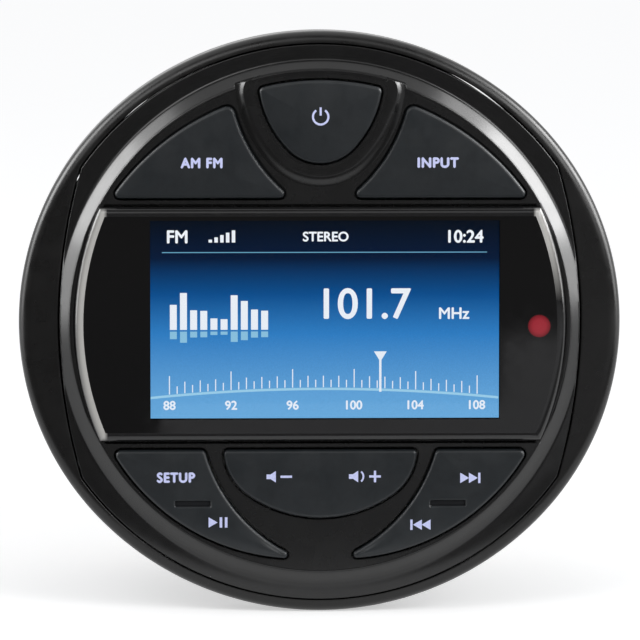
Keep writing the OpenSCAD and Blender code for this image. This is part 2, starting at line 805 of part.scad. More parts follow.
module keypad_mat() {
  color("#55585c") facing() {
    slab(mat_z, mat_top) mat_outline();
    for (p = switch_at) rod(p, pad_r, mat_top - eps, pad_top);
  }
}

module tact_switches() {
  color("#2a2a2a") facing() for (p = switch_at) block(p, switch_side * [1, 1], switch_z, mat_z);
}

// One small light beside each switch, on the side towards the middle of the panel
module legend_leds() {
  side = (switch_side + led_size.x) / 2 + led_gap;
  color("#dfe3ff") facing() for (p = switch_at)
    block(p + [p.x > 0 ? -side : side, 0], led_size, switch_z, switch_z + led_h);
}

module ir_receiver() {
  color("#19191b") facing() block([ir_x, 0], ir_body, switch_z, ledge_under - seat_gap);
}

module display_glass() {
  color("#123a78") facing() block([screen_x, screen_y], glass_size, tray_top - glass_t, tray_top);
}

module backlight_plate() {
  color("#f2f2ee") facing()
    block([screen_x, screen_y], glass_size, tray_z + tray_wall, tray_top - glass_t);
}

module display_tray() {
  color("#b8bbc0") facing() difference() {
    block([screen_x, screen_y], tray_size, tray_z, tray_top);
    block([screen_x, screen_y], glass_size + 2 * seat_gap * [1, 1], tray_z + tray_wall, through);
  }
}

module front_board() {
  color("#1d5a35") facing() difference() {
    rod([0, 0], front_board_r, board_z, switch_z);
    for (p = post_at) rod(p, post_r + seat_gap, 0, through);
  }
}

module ribbon_headers() {
  color("#e8e4d8") facing() {
    block(ribbon_at, header_size, board_z - header_h, board_z);
    block(ribbon_at, header_size, main_z, main_z + header_h);
  }
}

module ribbon_cable() {
  color("#c9c9c4") facing()
    block(ribbon_at, [header_size.x - header_h, ribbon_t], main_z + header_h, board_z - header_h);
}

module panel_screws() {
  color("#b5b5b8") facing() for (p = post_at) {
    rod(p, head_r, gasket_t, gasket_t + head_h);
    rod(p, shank_r, gasket_t + head_h - eps, ledge_under - 2 * tip_gap);
  }
}

module panel_gasket() {
  color("#161616") facing() difference() {
    rod([0, 0], flange_r - gasket_inset, 0, gasket_t);
    rod([0, 0], gasket_in, -1, gasket_t + 1);
  }
}

module rear_housing() {
  color("#1e1e1f") facing() difference() {
    union() {
      rod([0, 0], flange_r, gasket_t, board_z);
      difference() {
        rod([0, 0], barrel_r, cover_z, board_z);
        rod([0, 0], barrel_in, cover_z - 1, main_z);
      }
      intersection() {
        rod([0, 0], seal_r, cover_z, cover_z + cover_post_len);
        for (p = cover_screw_at) rod(p, cover_post_r, cover_z, cover_z + cover_post_len);
      }
    }
    rod([0, 0], barrel_in, main_z + ledge_t, through);
    rod([0, 0], barrel_in - ledge_w, main_z - 1, through);
    for (p = post_at) {
      rod(p, screw_r, 0, through);
      rod(p, head_r + seat_gap, 0, gasket_t + head_h);
    }
    for (p = board_screw_at) rod(p, pilot_r, main_z - 1, through);
    for (p = cover_screw_at) rod(p, pilot_r, cover_z - 1, cover_z + cover_post_len - tip_gap);
    rod_ring(seal_r, seal_w + seat_gap, cover_z - 1, cover_z + seal_t);
  }
}

// A flat ring of mean radius r and width w
module rod_ring(r, w, z0, z1) {
  difference() {
    rod([0, 0], r + w / 2, z0, z1);
    rod([0, 0], r - w / 2, z0 - 1, z1 + 1);
  }
}

module cover_seal() {
  color("#6b2a22") facing() rod_ring(seal_r, seal_w, cover_z, cover_z + seal_t);
}

module main_board() {
  color("#1d5a35") facing() difference() {
    rod([0, 0], main_board_r, main_rear, main_z);
    for (p = cover_screw_at) rod(p, cover_post_r + run_gap, -through, 0);
    for (p = board_screw_at) rod(p, screw_r, -through, 0);
  }
}

module board_screws() {
  color("#b5b5b8") facing() for (p = board_screw_at) {
    rod(p, head_r, main_rear - head_h, main_rear);
    rod(p, shank_r, main_rear - eps, main_z + ledge_t - tip_gap);
  }
}

module amplifier_chip() {
  y = tongue_y - chip_size.y / 2;
  color("#1a1a1c") facing() {
    block([0, y], chip_size, main_rear - chip_lift - chip_len, main_rear - chip_lift);
    for (i = [-5:5]) block([i * chip_pitch, y], chip_leg * [1, 1], main_rear - chip_lift - eps, main_rear);
  }
}

module tuner_can() {
  color("#c4c7cb") facing() block(tuner_at, tuner_size, main_rear - tuner_h, main_rear);
}

module capacitors() {
  color("#23344f") facing() for (p = capacitor_at)
    rod(p, capacitor_r, main_rear - capacitor_h, main_rear);
}

module filter_choke() {
  color("#7c5a34") facing() difference() {
    rod(choke_at, choke_r, main_rear - choke_h, main_rear);
    rod(choke_at, choke_bore, main_rear - choke_h - 1, main_rear + 1);
  }
}

// The finned plate outside the cover, with a tongue through it that the chip lies against
module heat_sink() {
  mid = (sink_low + sink_high) / 2;
  fin_step = (sink_w - fin_t) / (fin_n - 1);
  color("#4a4c4f") facing() difference() {
    union() {
      block([0, mid], [sink_w, sink_high - sink_low], rear_z - sink_t, rear_z);
      for (i = [0:fin_n - 1])
        block([i * fin_step - (sink_w - fin_t) / 2, mid], [fin_t, sink_high - sink_low],
              rear_z - sink_t - fin_h, rear_z - sink_t + eps);
      block([0, tongue_y + sink_t / 2], [tongue_w, sink_t], rear_z - eps, main_rear - chip_lift);
    }
    both_sides() {
      rod(sink_screw_at, screw_r, -through, 0);
      rod(sink_screw_at, head_r + run_gap, -through, rear_z - sink_t);
    }
  }
}

module heat_sink_screws() {
  color("#b5b5b8") facing() both_sides() {
    rod(sink_screw_at, head_r, rear_z - sink_t - head_h, rear_z - sink_t);
    rod(sink_screw_at, shank_r, rear_z - sink_t - eps, cover_z);
  }
}

module rear_cover() {
  color("#2b2c2e") facing() difference() {
    rod([0, 0], barrel_r, rear_z, cover_z);
    for (p = cover_screw_at) rod(p, screw_r, -through, 0);
    both_sides() {
      rod(sink_screw_at, pilot_r, -through, 0);
      rod([stud_x, 0], stud_r + seat_gap / 2, -through, 0);
    }
    for (p = line_out_at) rod(p, line_out_neck + seat_gap, -through, 0);
    block([0, tongue_y + sink_t / 2], [tongue_w, sink_t] + 4 * seat_gap * [1, 1], -through, 0);
    block(harness_at, [harness_w, harness_h] + 2 * seat_gap * [1, 1], -through, 0);
    rod(antenna_at, antenna_r + antenna_wall + seat_gap, -through, 0);
  }
}

module cover_screws() {
  color("#b5b5b8") facing() for (p = cover_screw_at) {
    rod(p, head_r, rear_z - head_h, rear_z);
    rod(p, shank_r, rear_z - eps, cover_z + cover_post_len - 2 * tip_gap);
  }
}

module harness_socket() {
  size = [harness_w, harness_h];
  color("#e6e2d6") facing() difference() {
    union() {
      block(harness_at, size, socket_back, cover_z + eps);
      block(harness_at, size + socket_gap * [1, 1], cover_z, socket_front);
    }
    block(harness_at, size - 2 * harness_wall * [1, 1], socket_back - 1, cover_z);
  }
}

module harness_pins() {
  step = (harness_w - 2 * harness_wall) / 7;
  color("#c8a550") facing() for (i = [-2.5:2.5]) for (j = [-1, 1])
    block(harness_at + [i * step, j * harness_pin_y], harness_pin * [1, 1],
          cover_z - harness_pin_len, cover_z);
}

module antenna_socket() {
  r = antenna_r + antenna_wall;
  color("#c4c7cb") facing() difference() {
    union() {
      rod(antenna_at, r, socket_back, cover_z + eps);
      rod(antenna_at, r + socket_gap, cover_z, socket_front);
    }
    rod(antenna_at, antenna_r, socket_back - 1, socket_back + antenna_depth);
  }
}

module line_out_sockets() {
  color("#d0b060") facing() for (p = line_out_at) difference() {
    union() {
      rod(p, line_out_r, socket_back, rear_z);
      rod(p, line_out_neck, rear_z - eps, cover_z + eps);
      rod(p, line_out_flange, cover_z, socket_front);
    }
    rod(p, line_out_bore, socket_back - 1, rear_z);
  }
}

module clamp_studs() {
  color("#b5b5b8") facing() both_sides() {
    rod([stud_x, 0], stud_r, stud_end, cover_z + eps);
    rod([stud_x, 0], stud_head_r, cover_z, cover_z + stud_head_h);
  }
}

// The strap: a base behind the cover, two legs beside the barrel and two feet on the dash
module clamp_bracket() {
  leg = strap_x + strap_t;
  foot = leg + foot_len;
  right = [[strap_x, strap_z], [strap_x, -dash_t], [foot, -dash_t], [foot, -dash_t - strap_t],
           [leg, -dash_t - strap_t], [leg, strap_z - strap_t]];
  color("#9da0a3") facing() difference() {
    rotate([90, 0, 0]) linear_extrude(strap_w, center = true)
      polygon(concat(right, [for (i = [len(right) - 1:-1:0]) mirror_x(right[i])]));
    both_sides() rod([stud_x, 0], stud_r + 2 * run_gap, -2 * through, 0);
  }
}

module clamp_washers() {
  color("#c0c0c4") facing() both_sides() difference() {
    rod([stud_x, 0], nut_r - 1, washer_z - washer_t, washer_z);
    rod([stud_x, 0], stud_r + thread_gap, -2 * through, 0);
  }
}

// A round thumb nut with a scalloped grip
module clamp_nut(side) {
  scallops = 18;
  grip = 0.8;
  facing() translate([side * stud_x, 0, nut_z - nut_h]) difference() {
    cylinder(r = nut_r, h = nut_h);
    translate([0, 0, -1]) cylinder(r = stud_r + thread_gap, h = nut_h + 2);
    for (i = [1:scallops]) rotate(i * 360 / scallops) translate([nut_r + grip / 3, 0, -1])
      cylinder(r = grip, h = nut_h + 2, $fn = 24);
  }
}

module clamp_nut_left() {
  color("#c8a550") clamp_nut(-1);
}

module clamp_nut_right() {
  color("#c8a550") clamp_nut(1);
}

trim_ring();
front_panel();
display_lens();
lens_tape();
ir_window();
power_key();
band_key();
mode_key();
menu_play_key();
track_key();
volume_key();
rocker_pins();
rocker_saddles();
keypad_mat();
tact_switches();
legend_leds();
ir_receiver();
display_glass();
backlight_plate();
display_tray();
front_board();
ribbon_headers();
ribbon_cable();
panel_screws();
panel_gasket();
rear_housing();
main_board();
board_screws();
amplifier_chip();
tuner_can();
capacitors();
filter_choke();
heat_sink();
heat_sink_screws();
rear_cover();
cover_seal();
cover_screws();
harness_socket();
harness_pins();
antenna_socket();
line_out_sockets();
clamp_studs();
clamp_bracket();
clamp_washers();
clamp_nut_left();
clamp_nut_right();
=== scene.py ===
# %% [markdown]
# # A round stereo for a boat's dash
# This lesson dresses a finished construction model. The model comes in as a fixed frame, in metres, with
# every part where it belongs: X to the right, Z up, and the face looking along -Y.

# %% Load the frame
import json
import math

import bmesh
import bpy
import numpy as np
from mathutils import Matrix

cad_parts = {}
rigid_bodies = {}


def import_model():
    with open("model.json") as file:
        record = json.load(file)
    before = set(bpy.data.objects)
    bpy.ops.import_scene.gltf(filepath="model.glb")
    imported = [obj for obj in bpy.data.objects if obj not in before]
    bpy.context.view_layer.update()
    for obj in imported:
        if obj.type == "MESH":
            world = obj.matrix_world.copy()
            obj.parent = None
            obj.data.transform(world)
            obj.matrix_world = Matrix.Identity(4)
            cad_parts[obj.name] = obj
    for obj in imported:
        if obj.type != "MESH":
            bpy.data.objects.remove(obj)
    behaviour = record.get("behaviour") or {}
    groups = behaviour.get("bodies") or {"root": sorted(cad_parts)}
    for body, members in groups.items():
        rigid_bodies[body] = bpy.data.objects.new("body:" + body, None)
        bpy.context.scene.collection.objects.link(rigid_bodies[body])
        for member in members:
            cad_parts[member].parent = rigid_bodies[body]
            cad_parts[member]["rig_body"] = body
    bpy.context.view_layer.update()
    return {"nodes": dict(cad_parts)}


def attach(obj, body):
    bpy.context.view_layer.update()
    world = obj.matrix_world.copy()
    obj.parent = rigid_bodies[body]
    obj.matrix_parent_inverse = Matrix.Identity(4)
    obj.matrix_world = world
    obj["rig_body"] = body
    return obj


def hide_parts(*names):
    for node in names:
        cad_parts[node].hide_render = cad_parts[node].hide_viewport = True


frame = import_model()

nodes = frame["nodes"]

# %% [markdown]
# ## The camera
# The photograph looks almost straight at the face, from a little above and a hair to the left, through a long
# lens. A lens is given by its focal length on a 36 mm sensor: the view is 111.1 mm wide at the ring, so at
# 0.9 m the focal length is 36 x 0.9 / 0.1111. A camera looks along its own -Z, so a tracking quaternion turns
# it.

# %% Place the camera
from mathutils import Vector

scene = bpy.context.scene
scene.view_settings.view_transform = "Standard"

azimuth, elevation, distance = math.radians(-1.5), math.radians(5.0), 0.9
sensor, view_width = 36, 0.1111
target = Vector((0.00014, -0.006, 0.00004))
toward = Vector((math.sin(azimuth) * math.cos(elevation), -math.cos(azimuth) * math.cos(elevation),
                 math.sin(elevation)))
eye = bpy.data.cameras.new("eye")
eye.sensor_width = sensor
eye.lens = sensor * distance / view_width
eye.clip_start, eye.clip_end = 0.05, 20
camera = bpy.data.objects.new("camera", eye)
camera.location = target + toward * distance
camera.rotation_euler = toward.to_track_quat("Z", "Y").to_euler()
scene.collection.objects.link(camera)
scene.camera = camera
print("camera:", round(eye.lens), "mm lens at", [round(v, 3) for v in camera.location])

# %% [markdown]
# ## Shader nodes
# A finish is a tree of small nodes, and each input of a node holds a value or takes another node's output. Two
# helpers keep such trees short: one feeds a node's inputs, the other adds a node and feeds it.

# %% Node helpers
def feed(node, *ins, **named):
    """Sets a node's inputs, in order or by name (an underscore stands for a space), to a value, or links them
    to another node's output."""
    for key, value in [*enumerate(ins), *named.items()]:
        entry = node.inputs[key if isinstance(key, int) else key.replace("_", " ")]
        if isinstance(value, bpy.types.NodeSocket):
            node.id_data.links.new(value, entry)
        else:
            entry.default_value = value
    return node


def wire(tree, kind, *ins, use=(), **named):
    """Adds a shader node, sets its own options, such as an operation, and feeds its inputs."""
    node = tree.nodes.new("ShaderNode" + kind)
    for option, choice in dict(use).items():
        setattr(node, option, choice)
    return feed(node, *ins, **named)


def sums(tree, operation, *ins):
    """One step of arithmetic."""
    return wire(tree, "Math", *ins, use={"operation": operation}).outputs[0]


def here(tree):
    """The piece's own place in the frame, in metres."""
    return wire(tree, "TexCoord").outputs["Object"]


def reach_after(tree, operation, by):
    """Length of the piece's own place after one step with a vector: less a centre, or times a mask."""
    moved = wire(tree, "VectorMath", here(tree), by, use={"operation": operation})
    return wire(tree, "VectorMath", moved.outputs["Vector"], use={"operation": "LENGTH"}).outputs["Value"]


def new_finish(name):
    """An empty node material, and its tree and shader."""
    mat = bpy.data.materials.new(name)
    mat.use_nodes = True
    return mat, mat.node_tree, mat.node_tree.nodes["Principled BSDF"]


print("node helpers: feed, wire, sums, here, reach_after, new_finish")

# %% [markdown]
# On these stand the steps that nearly every finish uses: a noise, one range laid on another, a run between two
# colours, and bump. Bump could be real geometry, but grain of a few thousandths of a millimetre is far too fine
# for that, and a node gives it at no cost.

# %% Steps that finishes share
def noise(tree, scale, detail=2.0, rough=0.5):
    """A noise over the piece's own place; scale is in bumps per metre."""
    return wire(tree, "TexNoise", Vector=here(tree), Scale=scale, Detail=detail, Roughness=rough).outputs["Fac"]


def spread(tree, value, low, high, start=0.3, end=0.7):
    """Maps a value's range from start to end, by default a noise's usual one, onto low to high."""
    return wire(tree, "MapRange", Value=value, From_Min=start, From_Max=end, To_Min=low,
                To_Max=high).outputs["Result"]


def shades(tree, value, first, second, start=0.3, end=0.7, between=()):
    """Runs a value from one colour to another, past any colours given for places between."""
    ramp = wire(tree, "ValToRGB", Fac=value)
    low, high = ramp.color_ramp.elements
    low.position, high.position = start, end
    low.color, high.color = (*first, 1), (*second, 1)
    for position, colour in between:
        ramp.color_ramp.elements.new(position).color = (*colour, 1)
    return ramp.outputs["Color"]


def bumped(tree, bsdf, height, depth, edge=0.0):
    """Bump of a depth in metres, over edges that are rounded in shading by edge metres."""
    bump = wire(tree, "Bump", Height=height, Strength=1.0, Distance=depth)
    if edge:
        feed(bump, Normal=wire(tree, "Bevel", Radius=edge, use={"samples": 6}).outputs["Normal"])
    feed(bsdf, Normal=bump.outputs["Normal"])


def tint(colour, factor):
    """A colour made lighter or darker."""
    return tuple(min(1.0, c * factor) for c in colour)


print("finish steps: noise, spread, shades, bumped, tint")

# %% [markdown]
# ## The studio
# A pale floor stands just under the ring, and a pale world is both background and soft light. Glossy black
# shows whatever stands in front of it, so photographers hang black cards behind and over the camera, lay
# one on the table before it, and put narrow strip lights at the sides: flat faces stay deep black and every
# slope catches a bright line. Two pale sheets on the table, before the lower right of the set, put a soft sheen
# on the lens's lower and right border. Cards, sheets and strips are seen by reflections only, so the floor and
# the colours keep their plain level.

# %% Floor and cards
def sheet_mesh(name, corners, finish):
    """One flat four-cornered sheet of the stage."""
    mesh = bpy.data.meshes.new(name)
    mesh.from_pydata(corners, [], [(0, 1, 2, 3)])
    mesh.materials.append(finish)
    obj = bpy.data.objects.new(name, mesh)
    scene.collection.objects.link(obj)
    return obj


def level(left, right, near, far, z):
    """Corners of a level sheet, from its near left one round."""
    return [(left, near, z), (right, near, z), (right, far, z), (left, far, z)]


def seen_ray(tree):
    """1 for a ray that shows the surface to the eye: straight, in a reflection or through glass."""
    path = wire(tree, "LightPath").outputs
    either = sums(tree, "MAXIMUM", path["Is Camera Ray"], path["Is Glossy Ray"])
    return sums(tree, "MAXIMUM", either, path["Is Transmission Ray"])


def stage_finish(name, colour, shine=0.0):
    """A matt studio surface with the faint mottle of paper, lifted towards white by shine."""
    mat, tree, bsdf = new_finish(name)
    feed(bsdf, Base_Color=shades(tree, noise(tree, 40.0, 3.0), tint(colour, 0.985), colour, 0.0, 1.0),
         Roughness=0.95, Specular_IOR_Level=0.0)
    if shine:
        feed(bsdf, Emission_Strength=sums(tree, "MULTIPLY", seen_ray(tree), shine), Emission_Color=(1, 1, 1, 1))
    return mat


floor_z, table_z, pale_z = -0.0504, -0.05, -0.0495
sheet_mesh("floor", level(-6, 6, -6, 6, floor_z), stage_finish("floor_paper", (0.86, 0.86, 0.86), 0.50))

card_black = stage_finish("card_black", (0.15, 0.145, 0.14))
card_pale = stage_finish("card_pale", (0.50, 0.50, 0.51), 0.18)
card_x, card_y, pale_x = 4.5, -1.15, 0.6
cards = {
    "front": [(-card_x, card_y, -1.8), (card_x, card_y, -1.8), (card_x, card_y, 0.7), (-card_x, card_y, 0.7)],
    "above": level(-card_x, card_x, card_y, -0.36, 1.4),
    "below": level(-card_x, card_x, card_y, -0.055, table_z),
    "pale_near": level(-0.029, pale_x, -0.36, -0.16, pale_z),
    "pale_right": [(0.064, -0.54, pale_z), (pale_x, -0.54, pale_z), (pale_x, -0.36, pale_z),
                   (0.052, -0.36, pale_z)],
}
for label, corners in cards.items():
    card = sheet_mesh("card_" + label, corners, card_pale if label.startswith("pale") else card_black)
    card.visible_camera = card.visible_diffuse = card.visible_shadow = False
print("stage: floor at", floor_z, "m,", len(cards), "cards")

# %% [markdown]
# The world has two strengths: a soft one for the light that it gives, and white for the rays that show it. Of
# the lamps, two large ones fill from the front, and a strip and a wider glow stand at each side.

# %% World and lamps
world = bpy.data.worlds.new("studio")
scene.world = world
world.use_nodes = True
sky = world.node_tree
sky.nodes.clear()
soft = wire(sky, "Background", Color=(0.97, 0.98, 1.0, 1), Strength=0.55)
pale = wire(sky, "Background", Color=(1.0, 1.0, 1.0, 1), Strength=1.0)
either = wire(sky, "MixShader", seen_ray(sky), soft.outputs[0], pale.outputs[0])
wire(sky, "OutputWorld", Surface=either.outputs[0])


def softbox(name, place, size, watts, reflections_only=False):
    """A rectangular lamp at a place, aimed at the origin; size is its width and height."""
    lamp = bpy.data.lights.new(name, "AREA")
    lamp.shape = "RECTANGLE"
    lamp.size, lamp.size_y = size
    lamp.energy = watts
    obj = bpy.data.objects.new(name, lamp)
    obj.location = place
    obj.rotation_euler = Vector(place).to_track_quat("Z", "Y").to_euler()
    obj.visible_diffuse = not reflections_only
    scene.collection.objects.link(obj)


softbox("fill_left", (-0.55, -1.0, 0.75), (0.7, 0.7), 3.6)
softbox("fill_right", (0.75, -0.9, 0.55), (0.6, 0.6), 6.0)
softbox("strip_right", (0.43, -0.03, 0.25), (0.24, 0.27), 2.35, reflections_only=True)
softbox("glow_right", (0.47, -0.03, 0.26), (0.24, 0.60), 2.4, reflections_only=True)
softbox("strip_left", (-0.44, -0.03, 0.24), (0.24, 0.24), 1.25, reflections_only=True)
softbox("glow_left", (-0.50, -0.03, 0.22), (0.24, 0.62), 2.0, reflections_only=True)
print("world and 6 lamps")

# %% [markdown]
# ## From arrays to pieces
# Every new piece is a grid of points worked out with numpy. We draw on the face as on paper, in millimetres
# (x right, y up, z towards the viewer). A shell is a grid with quads laid over it, or a lid over one ring: its
# points, its faces and the number of its finish.

# %% Grid helpers
def face_to_frame(points):
    """Face paper (x, y, z) in mm becomes frame (x, -z, y) in metres."""
    p = np.asarray(points, float)
    return np.stack([p[..., 0], -p[..., 2], p[..., 1]], axis=-1) / 1000


def circle(count):
    """Angles of evenly spaced points round a circle."""
    return np.linspace(0, 2 * np.pi, count, endpoint=False)


def rings(angle, rows, at=(0, 0)):
    """A grid with one ring for each pair of a radius and a height, which may both change with the angle."""
    return np.array([np.stack([at[0] + r * np.cos(angle), at[1] + r * np.sin(angle), z + 0 * angle], axis=-1)
                     for r, z in rows])


def turned(at, section, count=64):
    """A section of radius and height turned about an upright axis: one ring of points for each of its steps."""
    return rings(circle(count), section, at)


def quads(grid, around=True, along=False, finish=0):
    """Quads between neighbours in a grid; around joins each row's ends, along the last row to the first."""
    rows, cols = grid.shape[:2]
    i = np.arange(rows if along else rows - 1)[:, None]
    j = np.arange(cols if around else cols - 1)[None, :]
    k, l = (i + 1) % rows, (j + 1) % cols
    index = np.stack([i * cols + j, i * cols + l, k * cols + l, k * cols + j], axis=-1)
    return grid.reshape(-1, 3), index.reshape(-1, 4), finish


def lid(ring, finish=0):
    """One many-sided face over a closed ring."""
    return ring, np.arange(len(ring))[None, :], finish


def closed(grid):
    """A grid of rings with a lid at both ends."""
    return [quads(grid), lid(grid[0]), lid(grid[-1])]


def mirrored(shells):
    """The same shells, left for right."""
    return [(points * (-1, 1, 1), faces, finish) for points, faces, finish in shells]


print("grid helpers: rings, turned, quads, lid, closed, mirrored")

# %% [markdown]
# The next helper turns shells into a piece: it joins them into one mesh in the shared frame, merges the doubles
# where they touch, turns the faces out, and has the piece ride on its body. A piece may stand for a solid of
# the frame, which is then hidden.

# %% Piece helper
crease = 35


def smooth_faces(mesh, angle=crease):
    """Smooth shading, with edges sharper than an angle in degrees left crisp."""
    mesh.shade_smooth()
    mesh.set_sharp_from_angle(angle=math.radians(angle))


def build(name, shells, body, materials, node=None, smooth=crease, outward=True):
    """Joins shells of points, faces and finish number into one mesh piece that rides on a body."""
    starts = np.cumsum([0] + [len(s[0]) for s in shells])
    points = np.concatenate([np.asarray(s[0], float) for s in shells])
    faces = [row for s, start in zip(shells, starts) for row in (np.asarray(s[1]) + start).tolist()]
    finish = np.concatenate([np.full(len(s[1]), s[2]) for s in shells])
    mesh = bpy.data.meshes.new(name)
    mesh.from_pydata(face_to_frame(points).tolist(), [], faces)
    mesh.polygons.foreach_set("material_index", finish.astype(np.int32))
    work = bmesh.new()
    work.from_mesh(mesh)
    bmesh.ops.remove_doubles(work, verts=work.verts, dist=1e-7)
    if outward:
        bmesh.ops.recalc_face_normals(work, faces=work.faces)
    work.to_mesh(mesh)
    work.free()
    smooth_faces(mesh, smooth)
    for mat in materials:
        mesh.materials.append(mat)
    obj = bpy.data.objects.new(name, mesh)
    scene.collection.objects.link(obj)
    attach(obj, body)
    if node:
        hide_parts(node)
    return obj


print("piece helper: face paper in mm becomes the frame in metres")

# %% [markdown]
# ## Moulded plastic
# Injection-moulded black is never one flat colour: a spark-eroded mould leaves a fine grain, the melt leaves
# slow drifts in gloss, and handling polishes the edges. Three noises at three scales give that: grain of about
# 0.15 mm as bump, drifts of a few millimetres in roughness, and a trace of colour change.

# %% Plastic finish
def plastic(name, colour, rough, grain=6500.0, depth=4e-6, drift=0.06, gloss=0.5, edge=0.0):
    """Moulded plastic: grain as bump, slow drifts in roughness and a trace of colour change."""
    mat, tree, bsdf = new_finish(name)
    feed(bsdf, Base_Color=shades(tree, noise(tree, 900.0, 4.0), tint(colour, 0.86), tint(colour, 1.12)),
         Roughness=spread(tree, noise(tree, 220.0), rough - drift, rough + drift), Specular_IOR_Level=gloss)
    bumped(tree, bsdf, noise(tree, grain), depth, edge)
    return mat


ring_black = plastic("ring_black", (0.0058, 0.0056, 0.0056), 0.30, gloss=0.42)
key_grey = plastic("key_grey", (0.0108, 0.0137, 0.0162), 0.42, depth=3e-6, gloss=0.4)
print("plastics:", ring_black.name, key_grey.name)

# %% [markdown]
# ## The trim ring
# The ring is an oval, four arcs that share their tangents where they meet, and its section is a flat front
# with a generous rounding outside and a crisp one at the seam. It could be one scaled circle, but that is not
# the same curve. For each direction from the centre, one ray gives the distance to the seam and one to the
# outer edge.

# %% Edges of ring and panel
ring_c, ring_side_r, ring_end_r, ring_join = 2.902, 49.098, 53.202, 34.718 / 37.620
panel_side_c, panel_side_r, panel_end_c, panel_end_r = 50.35, 95.2, 2.25, 50.25


def ray_circle(angle, centre, r):
    """Distance from the origin, along a direction, to the far side of a circle."""
    along = centre[0] * np.cos(angle) + centre[1] * np.sin(angle)
    return along + np.sqrt(along ** 2 - centre[0] ** 2 - centre[1] ** 2 + r * r)


def oval(angle):
    """Outer edge: side arcs up to 42.7 degrees either side of level, end arcs beyond."""
    right, left = (ray_circle(angle, (c, 0), ring_side_r) for c in (ring_c, -ring_c))
    top, bottom = (ray_circle(angle, (0, c), ring_end_r) for c in (-ring_c, ring_c))
    sides = np.where(np.cos(angle) > 0, right, left)
    ends = np.where(np.sin(angle) > 0, top, bottom)
    return np.where(np.abs(np.tan(angle)) < ring_join, sides, ends)


def panel_edge(angle, grow):
    """Edge of the front panel: the smallest of four circles, two flat ones at the sides and two at the ends."""
    sides = [ray_circle(angle, (c, 0), panel_side_r + grow) for c in (panel_side_c, -panel_side_c)]
    ends = [ray_circle(angle, (0, c), panel_end_r + grow) for c in (panel_end_c, -panel_end_c)]
    return np.min(sides + ends, axis=0)


def arc_steps(start, end, count):
    """Cosines and sines along an arc, in degrees."""
    a = np.radians(np.linspace(start, end, count))
    return np.cos(a), np.sin(a)


def rounding(out, z, r, start, end, count):
    """Pairs of reach and height along an arc of radius r round a place in the section."""
    return [(out + r * c, z + r * s) for c, s in zip(*arc_steps(start, end, count))]


turn = circle(360)
seam, ring_edge = panel_edge(turn, 0.25), oval(turn)
print("ring edge:", ring_edge.min().round(2), "to", ring_edge.max().round(2), "mm from the centre")

# %% [markdown]
# Now the section is carried round: up the seam, over its crisp corner, across the flat front, round the
# outside, and back under to the ledge behind the panel's edge.

# %% Trim ring
ring_front, ring_back, crisp, generous, eased = 11.0, 0.4, 0.25, 2.0, 0.4
ledge_r, ledge_z = 48.6, 4.5
rows = [(seam, ledge_z), (seam, ring_front - crisp)]
rows += rounding(seam + crisp, ring_front - crisp, crisp, 180, 90, 5)[1:]
rows += [(seam + crisp + t * (ring_edge - generous - crisp - seam), ring_front) for t in (0.06, 0.5, 0.94)]
rows += rounding(ring_edge - generous, ring_front - generous, generous, 90, 0, 10)
rows += rounding(ring_edge - eased, ring_back + eased, eased, 0, -90, 4)
rows += [(ledge_r, ring_back), (ledge_r, ledge_z)]
ring = build("trim_ring_moulding", [quads(rings(turn, rows), along=True)], "unit", [ring_black], "trim_ring")
print("ring:", len(ring.data.polygons), "faces")

# %% [markdown]
# ## Key outlines
# Each key is drawn with arcs that run into each other, as a toolmaker would set them out with compasses. An
# outline that is grown evenly by g only changes each arc's radius, so the same list gives the opening, the key
# and every step of its rounded edge.

# %% Outlines from arcs
key_edge_y, band_in = 21.55, 43.15
fine, coarse = 8, 28


def heading(v):
    """Direction of a vector in degrees."""
    return math.degrees(math.atan2(v[1], v[0]))


def meet(a, ra, b, rb, side):
    """Crossing of two circles, left or right of the line between their centres."""
    a, b = np.array(a, float), np.array(b, float)
    d = np.linalg.norm(b - a)
    t = (ra * ra - rb * rb + d * d) / (2 * d)
    u = (b - a) / d
    return a + t * u + side * math.sqrt(ra * ra - t * t) * np.array([-u[1], u[0]])


def outline(arcs, g=0.0):
    """Points along arcs of centre, radius, first and last angle, steps and bulge, grown by g."""
    parts = []
    for centre, r, start, end, steps, bulge in arcs:
        c, s = arc_steps(start, end, steps + 1)
        parts.append(np.stack([centre[0] + (r + bulge * g) * c, centre[1] + (r + bulge * g) * s], axis=-1))
    return np.concatenate(parts)


print("outline helpers: corner arcs in", fine, "steps, long arcs in", coarse)

# %% [markdown]
# Above the lens, the power key is a shield whose flanks are two large arcs, and a wing lies at each side of it.
# The wing's inner edge keeps its distance from the shield, and its outer edge follows the band.

# %% Upper outlines
power_r, power_depth, power_low_r, power_flank_r, power_flare = 42.2, 14.6, 7.9, 18.7, 43.6
power_low = np.array([0, power_r - power_depth + power_low_r])
flare = math.radians(power_flare)
power_flank = power_low + (power_flank_r - power_low_r) * np.array([math.cos(flare), math.sin(flare)])


def power_arcs(tip_r=1):
    """A shield under an arc round the panel's centre."""
    right = power_flank * (-1, 1)
    corner = meet((0, 0), power_r - tip_r, right, power_flank_r - tip_r, -1)
    top, flank = heading(corner), heading(corner - right)
    return [(right, power_flank_r, -power_flare, flank, coarse, 1), (corner, tip_r, flank, top, fine, 1),
            ((0, 0), power_r, top, 180 - top, coarse, 1),
            (corner * (-1, 1), tip_r, 180 - top, 180 - flank, fine, 1),
            (power_flank, power_flank_r, 180 - flank, 180 + power_flare, coarse, 1),
            (power_low, power_low_r, 180 + power_flare, 360 - power_flare, coarse, 1)]


